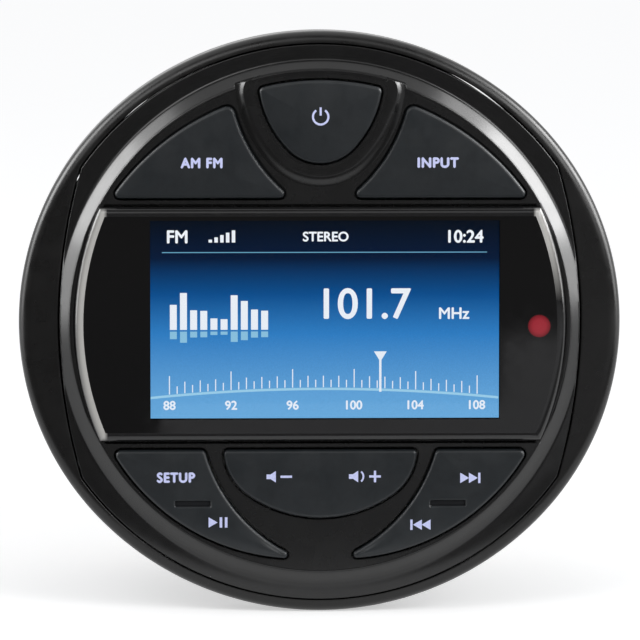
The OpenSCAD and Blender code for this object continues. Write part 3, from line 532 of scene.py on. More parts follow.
wing_arc, wing_r = power_flank + (4.4, 0.9), 27.7
wing_top_land, wing_foot_land = 2.3, 0.9
wing_top, wing_foot_r = band_in - wing_top_land, band_in - wing_foot_land
wing_outer = np.array([0, (wing_foot_r ** 2 - wing_top ** 2) / (2 * (key_edge_y - wing_top))])
wing_outer_r = wing_top - wing_outer[1]


def wing_arcs(foot_r=1, tip_r=1.6):
    """A straight foot, a hollow inner edge and a bulging outer edge."""
    foot = key_edge_y + foot_r
    outer = np.array([-math.sqrt((wing_outer_r - foot_r) ** 2 - (foot - wing_outer[1]) ** 2), foot])
    inner = np.array([wing_arc[0] - math.sqrt((wing_r + foot_r) ** 2 - (foot - wing_arc[1]) ** 2), foot])
    tip = meet(wing_outer, wing_outer_r - tip_r, wing_arc, wing_r + tip_r, 1)
    return [(inner, foot_r, -90, heading(wing_arc - inner), fine, 1),
            (wing_arc, wing_r, heading(inner - wing_arc) + 360, heading(tip - wing_arc) + 360, coarse, -1),
            (tip, tip_r, heading(wing_arc - tip), heading(tip - wing_outer), fine, 1),
            (wing_outer, wing_outer_r, heading(tip - wing_outer), heading(outer - wing_outer), coarse, 1),
            (outer, foot_r, heading(outer - wing_outer), 270, fine, 1)]


drawn = {"power": power_arcs(), "wing": wing_arcs()}
print("drawn:", {label: np.ptp(outline(arcs), axis=0).round(2).tolist() for label, arcs in drawn.items()})

# %% [markdown]
# Below the lens, the volume key has the shape of a boat, and a corner key at each side has a bulging outer edge
# and a hollow inner one that meet in a small round tip.

# %% Lower outlines
volume_half, volume_end_r, volume_low_r = 33.7 / 2, 10, 21.9
volume_end_x = volume_half - volume_end_r
volume_low_y = -key_edge_y + math.sqrt((volume_low_r - volume_end_r) ** 2 - volume_end_x ** 2)


def volume_arcs(head_r=0.9):
    """A straight head over a boat shape."""
    end, low = np.array([volume_end_x, -key_edge_y]), np.array([0, volume_low_y])
    corner = end + (math.sqrt((volume_end_r - head_r) ** 2 - head_r ** 2), -head_r)
    bilge, side = heading(end - low), heading(corner - end)
    return [(end, volume_end_r, bilge, side, coarse, 1), (corner, head_r, side, 90, fine, 1),
            (corner * (-1, 1), head_r, 90, 180 - side, fine, 1),
            (end * (-1, 1), volume_end_r, 180 - side, 180 - bilge, coarse, 1),
            (low, volume_low_r, 180 - bilge, 360 + bilge, coarse, 1)]


key_reach, lower_land = 42.35, 2.95
corner_outer_r, corner_inner_r, corner_rise, corner_tip_r = 37.1, 28.0, 7.0, 0.8
corner_outer = -(key_reach - corner_outer_r) / math.sqrt(2) * np.array([1, 1])
corner_arc = np.array([math.sqrt(corner_inner_r ** 2 - corner_rise ** 2) - volume_half - lower_land,
                       corner_rise - key_edge_y])
corner_tip = meet(corner_outer, corner_outer_r - corner_tip_r, corner_arc, corner_inner_r + corner_tip_r, -1)


def corner_arcs(head_r=1.1):
    """A straight head, a bulging outer edge and a hollow inner edge."""
    head = -key_edge_y - head_r
    outer_x = corner_outer[0] - math.sqrt((corner_outer_r - head_r) ** 2 - (head - corner_outer[1]) ** 2)
    inner_x = corner_arc[0] - math.sqrt((corner_inner_r + head_r) ** 2 - (head - corner_arc[1]) ** 2)
    outer, inner = np.array([outer_x, head]), np.array([inner_x, head])
    out_start, out_end = heading(outer - corner_outer) + 360, heading(corner_tip - corner_outer) + 360
    in_start, in_end = heading(corner_tip - corner_arc) + 360, heading(inner - corner_arc) + 360
    return [(inner, head_r, heading(corner_arc - inner), 90, fine, 1), (outer, head_r, 90, out_start, fine, 1),
            (corner_outer, corner_outer_r, out_start, out_end, coarse, 1),
            (corner_tip, corner_tip_r, out_end, heading(corner_arc - corner_tip) + 360, fine, 1),
            (corner_arc, corner_inner_r, in_start, in_end, coarse, -1)]


drawn.update(volume=volume_arcs(), corner=corner_arcs())
print("drawn:", {label: np.ptp(outline(arcs), axis=0).round(2).tolist() for label, arcs in drawn.items()})

# %% [markdown]
# ## The keys
# A key is a moulded cap: straight sides, an edge rounded over by 0.6 mm and a top that crowns by a fifth of a
# millimetre, which is what makes light slide across it. Rings of the outline climb the side, turn over the
# edge and shrink towards a spine line in the middle of the key.

# %% Key shapes
key_gap, key_round, key_crown, power_crown = 0.175, 0.6, 0.18, 0.36
lip_out, lip_reach, lip_low, lip_high = 0.7, 42.0, 10.9, 11.8


def at_height(points, z):
    """Flat points lifted to a height."""
    return np.concatenate([points, np.broadcast_to(z, points.shape[:-1])[..., None]], axis=-1)


def spine_between(centre, inner_r, outer, outer_r, low, high):
    """Moves each point onto the line midway between a hollow and a bulging edge, its angle kept in range."""
    def onto(points):
        a = np.degrees(np.arctan2(points[:, 1] - centre[1], points[:, 0] - centre[0])) % 360
        a = np.radians(np.clip(a, low, high))
        r = (inner_r + ray_circle(a, outer - centre, outer_r)) / 2
        return np.stack([centre[0] + r * np.cos(a), centre[1] + r * np.sin(a)], axis=-1)
    return onto


def spine_line(x0, x1, y0, y1):
    """Moves each point onto a box that is thin enough to be a line."""
    def onto(points):
        return np.stack([np.clip(points[:, 0], x0, x1), np.clip(points[:, 1], y0, y1)], axis=-1)
    return onto


def cap_shells(arcs, spine, bottom, top, crown=key_crown):
    """Side, rounded edge and crowned top: height falls as the square of the way out from the spine."""
    side = outline(arcs, -key_gap)
    steps = [(side, bottom), (side, top - key_round)]
    over = rounding(-key_gap - key_round, top - key_round, key_round, 0, 90, 7)
    steps += [(outline(arcs, g), z) for g, z in over[1:]]
    rim = steps[-1][0]
    middle = spine(rim)
    for share in (0.97, 0.93, 0.85, 0.75, 0.6, 0.4, 0.2):
        steps.append((middle + share * (rim - middle), top + crown * (1 - share ** 2)))
    return closed(np.array([at_height(p, z) for p, z in steps]))


def rod_shells(at, r, bottom, top, count=20):
    """An upright rod, closed at both ends."""
    return closed(turned(at, [(r, bottom), (r, top)], count))


def lip_shells(arcs, foot):
    """The flange that keeps a push key in: its outline grown by 0.7 mm, cut off at the foot and at the band."""
    ring = outline(arcs, lip_out)
    ring[:, 1] = np.maximum(ring[:, 1], foot)
    ring = ring * np.minimum(1, lip_reach / np.linalg.norm(ring, axis=1, keepdims=True))
    return closed(np.array([at_height(ring, lip_low), at_height(ring, lip_high)]))


print("key helpers: edge", key_round, "mm, crown", key_crown, "mm")

# %% [markdown]
# The three upper keys push straight in. Each is a cap, a flange that keeps it behind the panel and a stem for
# its switch, hidden in use but there when the key is taken out. The mode key is the band key, left for right.

# %% Power, band and mode keys
stem_r, stem_low, push_stem_top, rocker_stem_top = 1.8, 9.2, 11.0, 11.5
push_base, rocker_base, key_top, power_top = 11.2, 11.36, 14.5, 15.4
wing_foot, wing_stem_x, wing_stem_y = key_edge_y + key_gap, 21.175, 27.35
power_spine, wing_spine = spine_line(-2.2, 2.2, 33.5, 36), spine_line(-21.4, -20.6, 27.9, 28.3)
power_cap = cap_shells(drawn["power"], power_spine, push_base, power_top, power_crown)
wing_cap = cap_shells(drawn["wing"], wing_spine, push_base, key_top) + lip_shells(drawn["wing"], wing_foot)

for label, cap, stem_at in (("power", power_cap + lip_shells(drawn["power"], 0), (0, 35.5)),
                            ("band", wing_cap, (-wing_stem_x, wing_stem_y)),
                            ("mode", mirrored(wing_cap), (wing_stem_x, wing_stem_y))):
    key = build(label + "_key_cap", cap + rod_shells(stem_at, stem_r, stem_low, push_stem_top), label + "_key",
                [key_grey], label + "_key")
    print("push key:", label, len(key.data.polygons), "faces")

# %% [markdown]
# ## The rockers
# The three lower keys don't push, they tilt on hidden pins. The corner rockers carry a moulded slot over their
# pin. It could be drawn into the grid, but a hole in the middle of a curved grid twists its quads, so a small
# block is cut out with a Boolean modifier that is applied at once. Under each cap is a bored rib: a section
# that is round below and square above, with a round hole, drawn as one closed grid of four rows.

# %% Rocker shapes
slot_x, slot_y = 22.0127, -30.975
corner_stems = ((26.0127, -26.375), (16.6127, -35.175))
volume_pin_y, volume_stem_x, volume_stem_y = -27.15, 10.85, -26.15


def rib_shells(at, upright=False, half=1.6, r=1.5, bore=0.85, pivot=10.01, top=11.5):
    """A bored block along its pin: outer rim at both ends, then the bore's rim at both ends, closed round."""
    a = circle(48)
    up = np.minimum(r / np.maximum(np.abs(np.cos(a)), 1e-6), (top - pivot) / np.maximum(np.sin(a), 1e-6))
    out = np.where(np.sin(a) > 0, up, r)
    rows = []
    for end, radius in ((-half, out), (half, out), (half, bore), (-half, bore)):
        across, height = radius * np.cos(a), pivot + radius * np.sin(a)
        along = np.full_like(a, end)
        x, y = (across, along) if upright else (along, across)
        rows.append(np.stack([at[0] + x, at[1] + y, height], axis=-1))
    return [quads(np.array(rows), along=True)]


def stem_shells(places):
    """One stem at each place, up into a rocker's cap."""
    return [part for at in places for part in rod_shells(at, stem_r, stem_low, rocker_stem_top)]


def slot_shells(x, half=(2.85, 0.30)):
    """The slot as a solid: 6.1 x 1 mm with eased corners, half a millimetre deep, and a bevelled mouth."""
    a = circle(48) + np.pi / 48
    ray = np.stack([np.cos(a), np.sin(a)], axis=-1)
    corner = np.sign(ray) * half
    grid = np.array([at_height((x, slot_y) + corner + r * ray, z)
                     for r, z in ((0.48, 15.2), (0.48, 14.66), (0.20, 14.44), (0.17, 14.08))])
    # Finish 1, the painted shade of the recess, goes on the lower walls and the floor.
    return [quads(grid[:3]), quads(grid[2:], finish=1), lid(grid[0]), lid(grid[-1], 1)]


def cut(obj, shells):
    """Takes a closed shape out of a piece with an exact Boolean, applied at once."""
    tool = build("cutter", shells, obj["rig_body"], [])
    work = obj.modifiers.new("cut", "BOOLEAN")
    work.operation, work.solver, work.object = "DIFFERENCE", "EXACT", tool
    bpy.context.view_layer.update()
    mesh = bpy.data.meshes.new_from_object(obj.evaluated_get(bpy.context.evaluated_depsgraph_get()))
    obj.modifiers.clear()
    obj.data = mesh
    smooth_faces(mesh)
    bpy.data.objects.remove(tool)


print("rocker helpers: slot at", slot_x, slot_y)

# %% [markdown]
# The two corner rockers are one shape, left for right, and their slots are cut last. The slot's floor and lower
# walls are a darker colour than the cap, a painted shade of the recess. The volume rocker's pin stands upright,
# so its rib does too.

# %% Rocker keys
# A darker colour than the cap's, standing in as painted shade inside the slot.
slot_painted_shade = plastic("slot_painted_shade", (0.0062, 0.0070, 0.0088), 0.55, depth=6e-6, gloss=0.2)
spine_start, spine_end = 199.4, heading(corner_tip - corner_arc) + 360
corner_spine = spine_between(corner_arc, corner_inner_r + corner_tip_r, corner_outer,
                             corner_outer_r - corner_tip_r, spine_start, spine_end)
corner_cap = cap_shells(drawn["corner"], corner_spine, rocker_base, key_top)
for label, side, cap in (("menu_play", -1, corner_cap), ("track", 1, mirrored(corner_cap))):
    under = rib_shells((side * slot_x, slot_y)) + stem_shells([(side * x, y) for x, y in corner_stems])
    rocker = build(label + "_rocker", cap + under, label + "_key", [key_grey, slot_painted_shade], label + "_key")
    cut(rocker, slot_shells(side * slot_x))
    print("rocker:", label, len(rocker.data.polygons), "faces")

volume_cap = cap_shells(drawn["volume"], spine_line(-9, 9, -27, -26), rocker_base, key_top)
under = rib_shells((0, volume_pin_y), upright=True)
under += stem_shells([(-volume_stem_x, volume_stem_y), (volume_stem_x, volume_stem_y)])
volume = build("volume_rocker", volume_cap + under, "volume_key", [key_grey], "volume_key")
print("rocker: volume", len(volume.data.polygons), "faces")

# %% [markdown]
# ## The front panel
# The panel is one moulding: a polished sloping band round a satin field. Its solid already has the right
# shape, so it stays, and only its finish is made here. The band's polish is masked by the distance from the
# panel's centre, and a bevel in the shading rounds every crisp edge by a third of a millimetre.

# %% Panel finish
def panel_finish(name, colour, satin=0.27, polish=0.22, band=0.0431, blend=0.0001):
    """Satin plastic whose roughness falls to a polish beyond a radius round the Y axis."""
    mat, tree, bsdf = new_finish(name)
    base = spread(tree, reach_after(tree, "MULTIPLY", (1, 0, 1)), satin, polish, band - blend, band + blend)
    drift = spread(tree, noise(tree, 260.0), -0.03, 0.03)
    feed(bsdf, Base_Color=shades(tree, noise(tree, 800.0, 4.0), tint(colour, 0.88), tint(colour, 1.1)),
         Roughness=sums(tree, "ADD", base, drift))
    bumped(tree, bsdf, noise(tree, 6000.0), 1.5e-6, 0.0003)
    return mat


def dress(finish, *names):
    """Gives carried-over solids a finish."""
    for name in names:
        mesh = nodes[name].data
        mesh.materials.clear()
        mesh.materials.append(finish)


dress(panel_finish("panel_satin", (0.0058, 0.0058, 0.0060)), "front_panel")
print("panel: satin field, polished band")

# %% [markdown]
# The band catches the strongest lights of all, and the flats of a solid show in it. A thin skin that stands
# 0.02 mm over the rim and the band carries the highlight smoothly: rings of falling radius, kept within the
# panel's edge, whose height follows the rim, a soft foot, the slope and a soft crest.

# %% Band skin
rim_z, field_z, band_out, skin_lift, skin_end_z, skin_lip = 11.3, 13.5, 45.4, 0.02, 13.47, 0.15


def band_height(r, foot_soft=0.16, crest_soft=0.10):
    """Height over the rim: the slope from 45.4 to 43.15 mm, blended over a quarter millimetre at each end."""
    slope = rim_z + (band_out - r) * (field_z - rim_z) / (band_out - band_in)
    foot = rim_z + foot_soft * np.logaddexp(0, (slope - rim_z) / foot_soft)
    return field_z - crest_soft * np.logaddexp(0, (field_z - foot) / crest_soft) + skin_lift


def thicken(obj, depth=0.0003):
    """Makes a skin a closed shell, by a depth in metres on its hidden side."""
    shell = obj.modifiers.new("depth", "SOLIDIFY")
    shell.thickness, shell.offset = depth, -1


skin_edge = panel_edge(turn, skin_lift)
radii = np.concatenate([[49.0], np.linspace(46.4, 45.0, 12), np.linspace(44.8, 43.6, 7),
                        np.linspace(43.5, 42.8, 8)])
reach = np.minimum(radii[:, None], skin_edge - skin_lip)
rows = [(skin_edge, 9.5)]
rows += rounding(skin_edge - skin_lip, band_height(skin_edge) - skin_lip, skin_lip, 0, 90, 5)[:-1]
rows += [*zip(reach, band_height(reach)), (42.5, skin_end_z), (42.45, skin_end_z)]
skin = rings(turn, rows)
band_polish = plastic("band_polish", (0.0062, 0.0062, 0.0064), 0.21, depth=5e-7, drift=0.03)
thicken(build("panel_band", [quads(skin)], "unit", [band_polish], smooth=50,
              outward=False))
print("band skin:", skin.shape)

# %% [markdown]
# Round the power key, the panel swells into a collar that runs out into the field without an edge. The solid
# has it as a plain slope, so a thin skin lies over it. Its section is a soft S below the key, and towards the
# upper ends a crest with a foot. Each step of the section is the key's outline grown by that distance, and the
# cone that trims the collar at the band is blended in.

# %% Collar skin
collar_rise, collar_start, collar_end_g, crest_g = 0.97, 2.0, 4.2, 2.6
cone_r, cone_z, cone_slope, cone_soft = 43.77, 14.42, 3.1 / 0.4, 0.04
inner_dip, end_dip, end_steps, end_face_r = 0.07, 0.08, 12, 43.72


def smooth_step(value, start, end):
    """0 up to start, 1 from end, and a soft S between."""
    t = np.clip((value - start) / (end - start), 0, 1)
    return t * t * (3 - 2 * t)


def collar_height(points, g):
    """The lower of two heights, blended over a few hundredths: a fall from 14.44 to 13.47 mm, and the end cone;
    but never far below the band's own slope. The fall is an S below, and towards the upper ends a crest with a
    foot."""
    upper = smooth_step(points[..., 1], 34, 39.5)
    crest = (1 - np.clip((g - crest_g) / (collar_end_g - crest_g), 0, 1)) ** 2.2
    fall = (1 - upper) * (1 - smooth_step(g, collar_start, collar_end_g)) + upper * crest
    swell = skin_end_z + collar_rise * fall - inner_dip * np.clip(1.3 - g, 0, 1)
    reach = np.linalg.norm(points, axis=-1)
    cone = cone_z - (reach - cone_r) * cone_slope
    lower = -cone_soft * np.logaddexp(-swell / cone_soft, -cone / cone_soft)
    return np.maximum(lower, band_height(reach) - 0.3)


shield = drawn["power"]
around_key = [shield[k][:4] + (steps, 1) for k, steps in ((3, 40), (4, 200), (5, 80), (0, 200), (1, 40))]
growth = np.concatenate([[collar_end_g], np.linspace(4.05, collar_start, 29), [1.3, 1.0, 0.55, 0.5]])
collar = np.array([at_height(outline(around_key, g), 0) for g in growth])
collar[..., 2] = collar_height(collar[..., :2], growth[:, None])
from_end = np.minimum(np.arange(collar.shape[1]), np.arange(collar.shape[1])[::-1])
collar[..., 2] -= end_dip * (1 - smooth_step(from_end, 0, end_steps))
collar_satin = plastic("collar_satin", (0.0056, 0.0056, 0.0058), 0.27, depth=1.5e-6, drift=0.03)
collar_end = plastic("collar_end", (0.0056, 0.0056, 0.0058), 0.70, depth=3e-6, gloss=0.1)
points, faces, _ = quads(collar, around=False)
beyond = np.linalg.norm(points[faces].mean(axis=1)[:, :2], axis=-1) > end_face_r
thicken(build("panel_collar", [(points, faces[~beyond], 0), (points, faces[beyond], 1)], "unit",
              [collar_satin, collar_end], smooth=50, outward=False))
print("collar skin:", collar.shape)

# %% [markdown]
# ## The lens
# The lens is a plate of clear acrylic with black ink on its back round a clear window, and all four edges are
# rounded over so that light runs along them. Rings of its outline climb a quarter ellipse; the flat front is
# then two grids, the inked border and the clear pane, with a finish each.

# %% Lens shape
lens_half, lens_side_r, lens_side_c = 20.25, 50.0, 7.65
lens_back, lens_front, lens_round, lens_round_z = 12.2, 15.0, 1.5, 1.3
window_low, window_high = (-29.25, -16.35), (30.85, 17.95)
side_steps, edge_steps = 40, 60


def lens_ring(g):
    """Lens outline grown by g: right arc, top edge, left arc and bottom edge, with the same count each time."""
    r, top = lens_side_r + g, lens_half + g
    reach = math.asin(top / r)
    a = np.linspace(-reach, reach, side_steps, endpoint=False)
    right = np.stack([r * np.cos(a) - lens_side_c, r * np.sin(a)], axis=-1)
    corner = r * math.cos(reach) - lens_side_c
    x = np.linspace(corner, -corner, edge_steps, endpoint=False)
    upper = np.stack([x, np.full_like(x, top)], axis=-1)
    return np.concatenate([right, upper, -right, -upper])


def window_ring():
    """The clear window's edge, with its points shared out like the lens outline's."""
    (x0, y0), (x1, y1) = window_low, window_high
    y = np.linspace(y0, y1, side_steps, endpoint=False)
    x = np.linspace(x1, x0, edge_steps, endpoint=False)
    right = np.stack([np.full_like(y, x1), y], axis=-1)
    upper = np.stack([x, np.full_like(x, y1)], axis=-1)
    left = np.stack([np.full_like(y, x0), y[::-1] + (y[1] - y[0])], axis=-1)
    lower = np.stack([x[::-1] + (x[1] - x[0]), np.full_like(x, y0)], axis=-1)
    return np.concatenate([right, upper, left, lower])


lens_rows = [(lens_ring(0), lens_back)]
lens_rows += [(lens_ring(-lens_round * (1 - c)), lens_front - lens_round_z + lens_round_z * s)
              for c, s in zip(*arc_steps(0, 90, 10))]
lens_rows += [(lens_ring(-lens_round - 0.1), lens_front)]
lens_grid = np.array([at_height(p, z) for p, z in lens_rows])
front_window, back_window = at_height(window_ring(), lens_front), at_height(window_ring(), lens_back)
lens_shells = [quads(lens_grid, finish=2), quads(np.array([lens_grid[-1], front_window])),
               quads(np.array([back_window, lens_grid[0]])), lid(front_window, 1), lid(back_window, 1)]
print("lens rings:", lens_grid.shape)

# %% [markdown]
# The ink is left thin over the remote-control receiver, which shows as a dark red spot. The ink stops short of
# the rounded edge, which has a finish of its own: its pale colour is a painted highlight along the crest of the
# left side and of the right side's upper end. The pane has a coat against glare, which a refraction index below
# that of acrylic stands for.

# %% Lens finishes
spot_at, spot_r = (0.03765, -0.015, -0.0003), 0.0020
ink, tree, bsdf = new_finish("lens_ink")
out_of_spot = spread(tree, reach_after(tree, "SUBTRACT", spot_at), 0.0, 1.0, 0.0, spot_r)
spot = shades(tree, out_of_spot, (0.33, 0.024, 0.036), (0.0022, 0.0022, 0.0025), 0.0, 1.0,
              ((0.55, (0.31, 0.020, 0.032)), (0.82, (0.21, 0.011, 0.019)), (0.93, (0.14, 0.007, 0.012))))
feed(bsdf, Base_Color=spot, Roughness=spread(tree, noise(tree, 500.0, 3.0), 0.03, 0.07))
bumped(tree, bsdf, noise(tree, 160.0), 2e-6)

# The rounded edge's base colour is a painted highlight: pale along the left side and the right side's upper
# end, near the front crest, and black elsewhere.
rim, tree, bsdf = new_finish("lens_rim_painted_highlight")
place = wire(tree, "SeparateXYZ", here(tree)).outputs
left = spread(tree, place["X"], 1.0, 0.0, -0.0372, -0.0366)
right = spread(tree, place["X"], 0.0, 1.0, 0.0366, 0.0372)
upper = spread(tree, place["Z"], 0.0, 1.35, 0.004, 0.017)
crest = spread(tree, place["Y"], 1.0, 0.0, -0.01495, -0.0143)
painted_highlight = sums(tree, "MULTIPLY", sums(tree, "MULTIPLY_ADD", right, upper, left), crest)
feed(bsdf, Base_Color=shades(tree, painted_highlight, (0.010, 0.010, 0.0105), (0.44, 0.43, 0.41), 0.0, 1.0),
     Roughness=spread(tree, noise(tree, 700.0, 3.0), 0.10, 0.20))
bumped(tree, bsdf, noise(tree, 300.0), 2e-6)

clear, tree, bsdf = new_finish("lens_clear")
feed(bsdf, IOR=1.25, Base_Color=(0.96, 0.97, 0.98, 1), Transmission_Weight=1.0,
     Roughness=spread(tree, noise(tree, 400.0, 3.0), 0.0, 0.02))

lens = build("lens_plate", lens_shells, "unit", [ink, clear, rim], "display_lens", smooth=25)
print("lens:", len(lens.data.polygons), "faces")

# %% [markdown]
# ## The picture on the display
# Behind the lens, the display shows a tuner page: a field that runs from night blue at the top to a bright blue
# below, a tuning scale along the bottom, a level meter and figures. A display shines by itself, so its colours
# are emission, and each drawn mark is a thin flat shape a few hundredths of a millimetre above the field.

# %% Display finishes
def glow(name, low, high, start, end, between=(), specks=False):
    """A shining finish that runs from one colour to another between two heights, with fine specks if asked."""
    mat, tree, bsdf = new_finish(name)
    height = wire(tree, "SeparateXYZ", here(tree)).outputs["Z"]
    colour = shades(tree, spread(tree, height, 0.0, 1.0, start, end), low, high, 0.0, 1.0, between)
    if specks:
        speck = shades(tree, noise(tree, 5200.0, 1.0), (0.86, 0.88, 0.90), (1.0, 1.0, 1.0))
        colour = wire(tree, "Mix", use={"data_type": "RGBA", "blend_type": "MULTIPLY"}, Factor=1.0, A=colour,
                      B=speck).outputs["Result"]
    feed(bsdf, Emission_Color=colour, Emission_Strength=1.0, Base_Color=(0.0, 0.0, 0.0, 1), Roughness=1.0,
         Specular_IOR_Level=0.0)
    return mat


blues = ((0.12, (0.130, 0.39, 0.73)), (0.42, (0.030, 0.22, 0.57)), (0.62, (0.002, 0.08, 0.28)),
         (0.80, (0.0006, 0.010, 0.04)))
field_glow = glow("display_field", (0.150, 0.43, 0.76), (0.0005, 0.003, 0.008), -0.01635, 0.01795, blues, True)
white_glow = glow("display_white", (0.80, 0.86, 0.95), (0.90, 0.93, 0.97), -0.016, 0.018)
ice_glow = glow("display_ice", (0.36, 0.66, 0.86), (0.16, 0.42, 0.62), -0.016, 0.012)
print("display finishes:", field_glow.name, white_glow.name, ice_glow.name)

# %% [markdown]
# Marks are flat: rectangles, strips between two lines and filled outlines. Their faces must look at the viewer,
# so a helper measures which way each one turns and flips those that look away.

# %% Display field
def plate_shells(rects, z):
    """Flat rectangles, each given by left, bottom, right and top."""
    r = np.asarray(rects, float)
    points = np.stack([r[:, [0, 1]], r[:, [2, 1]], r[:, [2, 3]], r[:, [0, 3]]], axis=1)
    points = at_height(points, z).reshape(-1, 3)
    return [(points, np.arange(len(points)).reshape(-1, 4), 0)]


def ribbon_shells(first, second, z):
    """A flat strip between two lines of as many points."""
    return [quads(at_height(np.array([first, second]), z), around=False)]


def flat(name, shells, body, finish):
    """A flat mark on a face: its faces all look towards the viewer."""
    flipped = []
    for points, faces, number in shells:
        corner = np.asarray(points)[np.asarray(faces)]
        a, b = corner[:, 1] - corner[:, 0], corner[:, 2] - corner[:, 1]
        up = (a[:, 0] * b[:, 1] - a[:, 1] * b[:, 0]) > 0
        flipped.append((points, np.where(up[:, None], faces, np.asarray(faces)[:, ::-1]), number))
    build(name, flipped, body, [finish], outward=False)


def show(name, shells, finish=white_glow):
    """A mark on the display."""
    flat("display_" + name, shells, "unit", finish)


screen_z, field_margin = 10.2, 0.9
mark_z, pointer_z = screen_z + 0.06, screen_z + 0.08
(x0, y0), (x1, y1) = window_low, window_high
show("picture", plate_shells([(x0 - field_margin, y0 - field_margin, x1 + field_margin, y1 + field_margin)],
                             screen_z + 0.03), field_glow)
print("display field:", x1 - x0, "x", y1 - y0, "mm")

# %% [markdown]
# Figures come from Blender's own plain typeface. A text object is turned into a mesh, measured, scaled so that
# its capitals have the height we ask for, and only then laid on the face.

# %% Display figures
def letter_shells(text, at, height, z, weight, width=None, spacing=1.0):
    """Letters centred on a point of the face, their height and, if asked, their width in mm. Weight fattens
    every stroke by printing the letters again, that far to each side and a hair higher."""
    curve = bpy.data.curves.new("letters", "FONT")
    curve.body, curve.size, curve.resolution_u = text, 1.0, 6
    curve.align_x = curve.align_y = "CENTER"
    curve.space_character, curve.fill_mode = spacing, "FRONT"
    carrier = bpy.data.objects.new("letters", curve)
    scene.collection.objects.link(carrier)
    bpy.context.view_layer.update()
    mesh = bpy.data.meshes.new_from_object(carrier.evaluated_get(bpy.context.evaluated_depsgraph_get()))
    bpy.data.objects.remove(carrier)
    points = np.zeros(len(mesh.vertices) * 3)
    mesh.vertices.foreach_get("co", points)
    points = points.reshape(-1, 3)
    corners = [list(p.vertices) for p in mesh.polygons]
    bpy.data.meshes.remove(mesh)
    low, high = points.min(0), points.max(0)
    scale = height / (high[1] - low[1])
    stretch = width / (high[0] - low[0]) if width else scale
    place = at_height(np.array(at) + (points - (low + high) / 2)[:, :2] * (stretch, scale), z)
    threes, fours = (np.array([c for c in corners if len(c) == count]) for count in (3, 4))
    shifts = np.array([(0, 0, 0), (1, 0, 0.004), (-1, 0, 0.008), (0, 1, 0.012), (0, -1, 0.016)])
    return [(place + shift, corner, 0) for shift in shifts * (weight, weight, 1)
            for corner in (threes, fours) if len(corner)]


top_line, scale_x, scale_step, scale_low, scale_high = 14.9, -26.0, 2.66, 88, 108
for name, text, at, height, weight in (("band", "FM", (-24.6, top_line), 2.1, 0.08),
                                       ("clock", "10:24", (25.2, top_line), 2.1, 0.08),
                                       ("stereo", "STEREO", (1.0, top_line), 1.6, 0.06),
                                       ("figures", "101.7", (8.2, 3.3), 5.2, 0.10),
                                       ("unit", "MHz", (23.2, 1.6), 1.9, 0.06)):
    show(name, letter_shells(text, at, height, mark_z, weight))
for number in range(scale_low, scale_high + 1, 4):
    at = (scale_x + (number - scale_low) * scale_step, -14.3)
    show("number_" + str(number), letter_shells(str(number), at, 1.5, mark_z, 0.06))
print("display figures laid")

# %% [markdown]
# The scale is a row of ticks under a shallow arc, with a pointer at the tuned place; the meter at the left is a
# row of bars whose heights follow two added sine waves. Rules and bars are rectangles worked out as arrays.

# %% Display marks
def arch(x, foot):
    """A shallow arc over the display: a parabola that stands 1.2 mm over its foot."""
    return foot + 1.2 * (1 - ((x - 0.6) / 26.6) ** 2)


step = np.arange(41)
tick_x = scale_x + step * scale_step / 2
tick_top = np.where(step % 8 == 0, 3.2, np.where(step % 2 == 0, 2.0, 1.3))
tick_low = arch(tick_x, -12.4)
ticks = np.stack([tick_x - 0.09, tick_low, tick_x + 0.09, tick_low + tick_top], axis=-1)
show("ticks", plate_shells(ticks, mark_z))

x = np.linspace(x0, x1, 60)
sweep = arch(x, -12.9)
under, over = (np.stack([x, sweep + lift], axis=-1) for lift in (0, 0.42))
show("arc", ribbon_shells(under, over, mark_z), ice_glow)
show("rule", plate_shells([(x0 + 2, 12.1, x1 - 2, 12.25)], mark_z), ice_glow)

pointer = scale_x + (101.7 - scale_low) * scale_step
stalk = plate_shells([(pointer - 0.2, -12.0, pointer + 0.2, -5.4)], pointer_z)
head = [(pointer - 1.1, -5.0), (pointer + 1.1, -5.0)], [(pointer, -6.8), (pointer, -6.8)]
show("pointer", stalk + ribbon_shells(*head, pointer_z))

bar, bar_step, bar_foot, echo_top = np.arange(10), 1.75, -1.2, -1.5
tall = 3.6 + 1.9 * np.sin(bar * 1.1 + 0.4) + 1.2 * np.sin(bar * 2.3)
bar_left, bar_right = -25.9 + bar * bar_step, -24.7 + bar * bar_step
bars = np.stack([bar_left, 0 * tall + bar_foot, bar_right, bar_foot + tall], axis=-1)
echo = np.stack([bar_left, echo_top - 0.3 * tall, bar_right, 0 * tall + echo_top], axis=-1)
show("meter", plate_shells(bars, mark_z))
show("meter_echo", plate_shells(echo, mark_z), ice_glow)
signal = np.arange(5)
show("signal", plate_shells(np.stack([-19.2 + signal, 0 * signal + 13.9, -18.6 + signal, 14.4 + signal * 0.4],
                                     axis=-1), mark_z))
print("display marks:", len(ticks), "ticks,", len(bars), "bars")

# %% [markdown]
# ## Legends on the keys
# Legends are printed in a cool white that glows faintly when the lamps behind the keys are on. Words are plain
# ones that any such set could carry, and the rest are the usual signs for power, play and pause, next, back
# and louder or softer.

# %% Legend helpers
print_white, tree, bsdf = new_finish("legend_print")
feed(bsdf, Base_Color=shades(tree, noise(tree, 3000.0), (0.44, 0.47, 0.72), (0.52, 0.55, 0.80)), Roughness=0.55,
     Emission_Color=(0.66, 0.70, 1.0, 1), Emission_Strength=0.12)
key_z, power_z = key_top + key_crown + 0.01, power_top + power_crown + 0.01
sign = 1.8


def fan_shells(points, z):
    """A flat sign with straight or curved sides, drawn in order round it."""
    return [lid(at_height(np.asarray(points, float), z))]


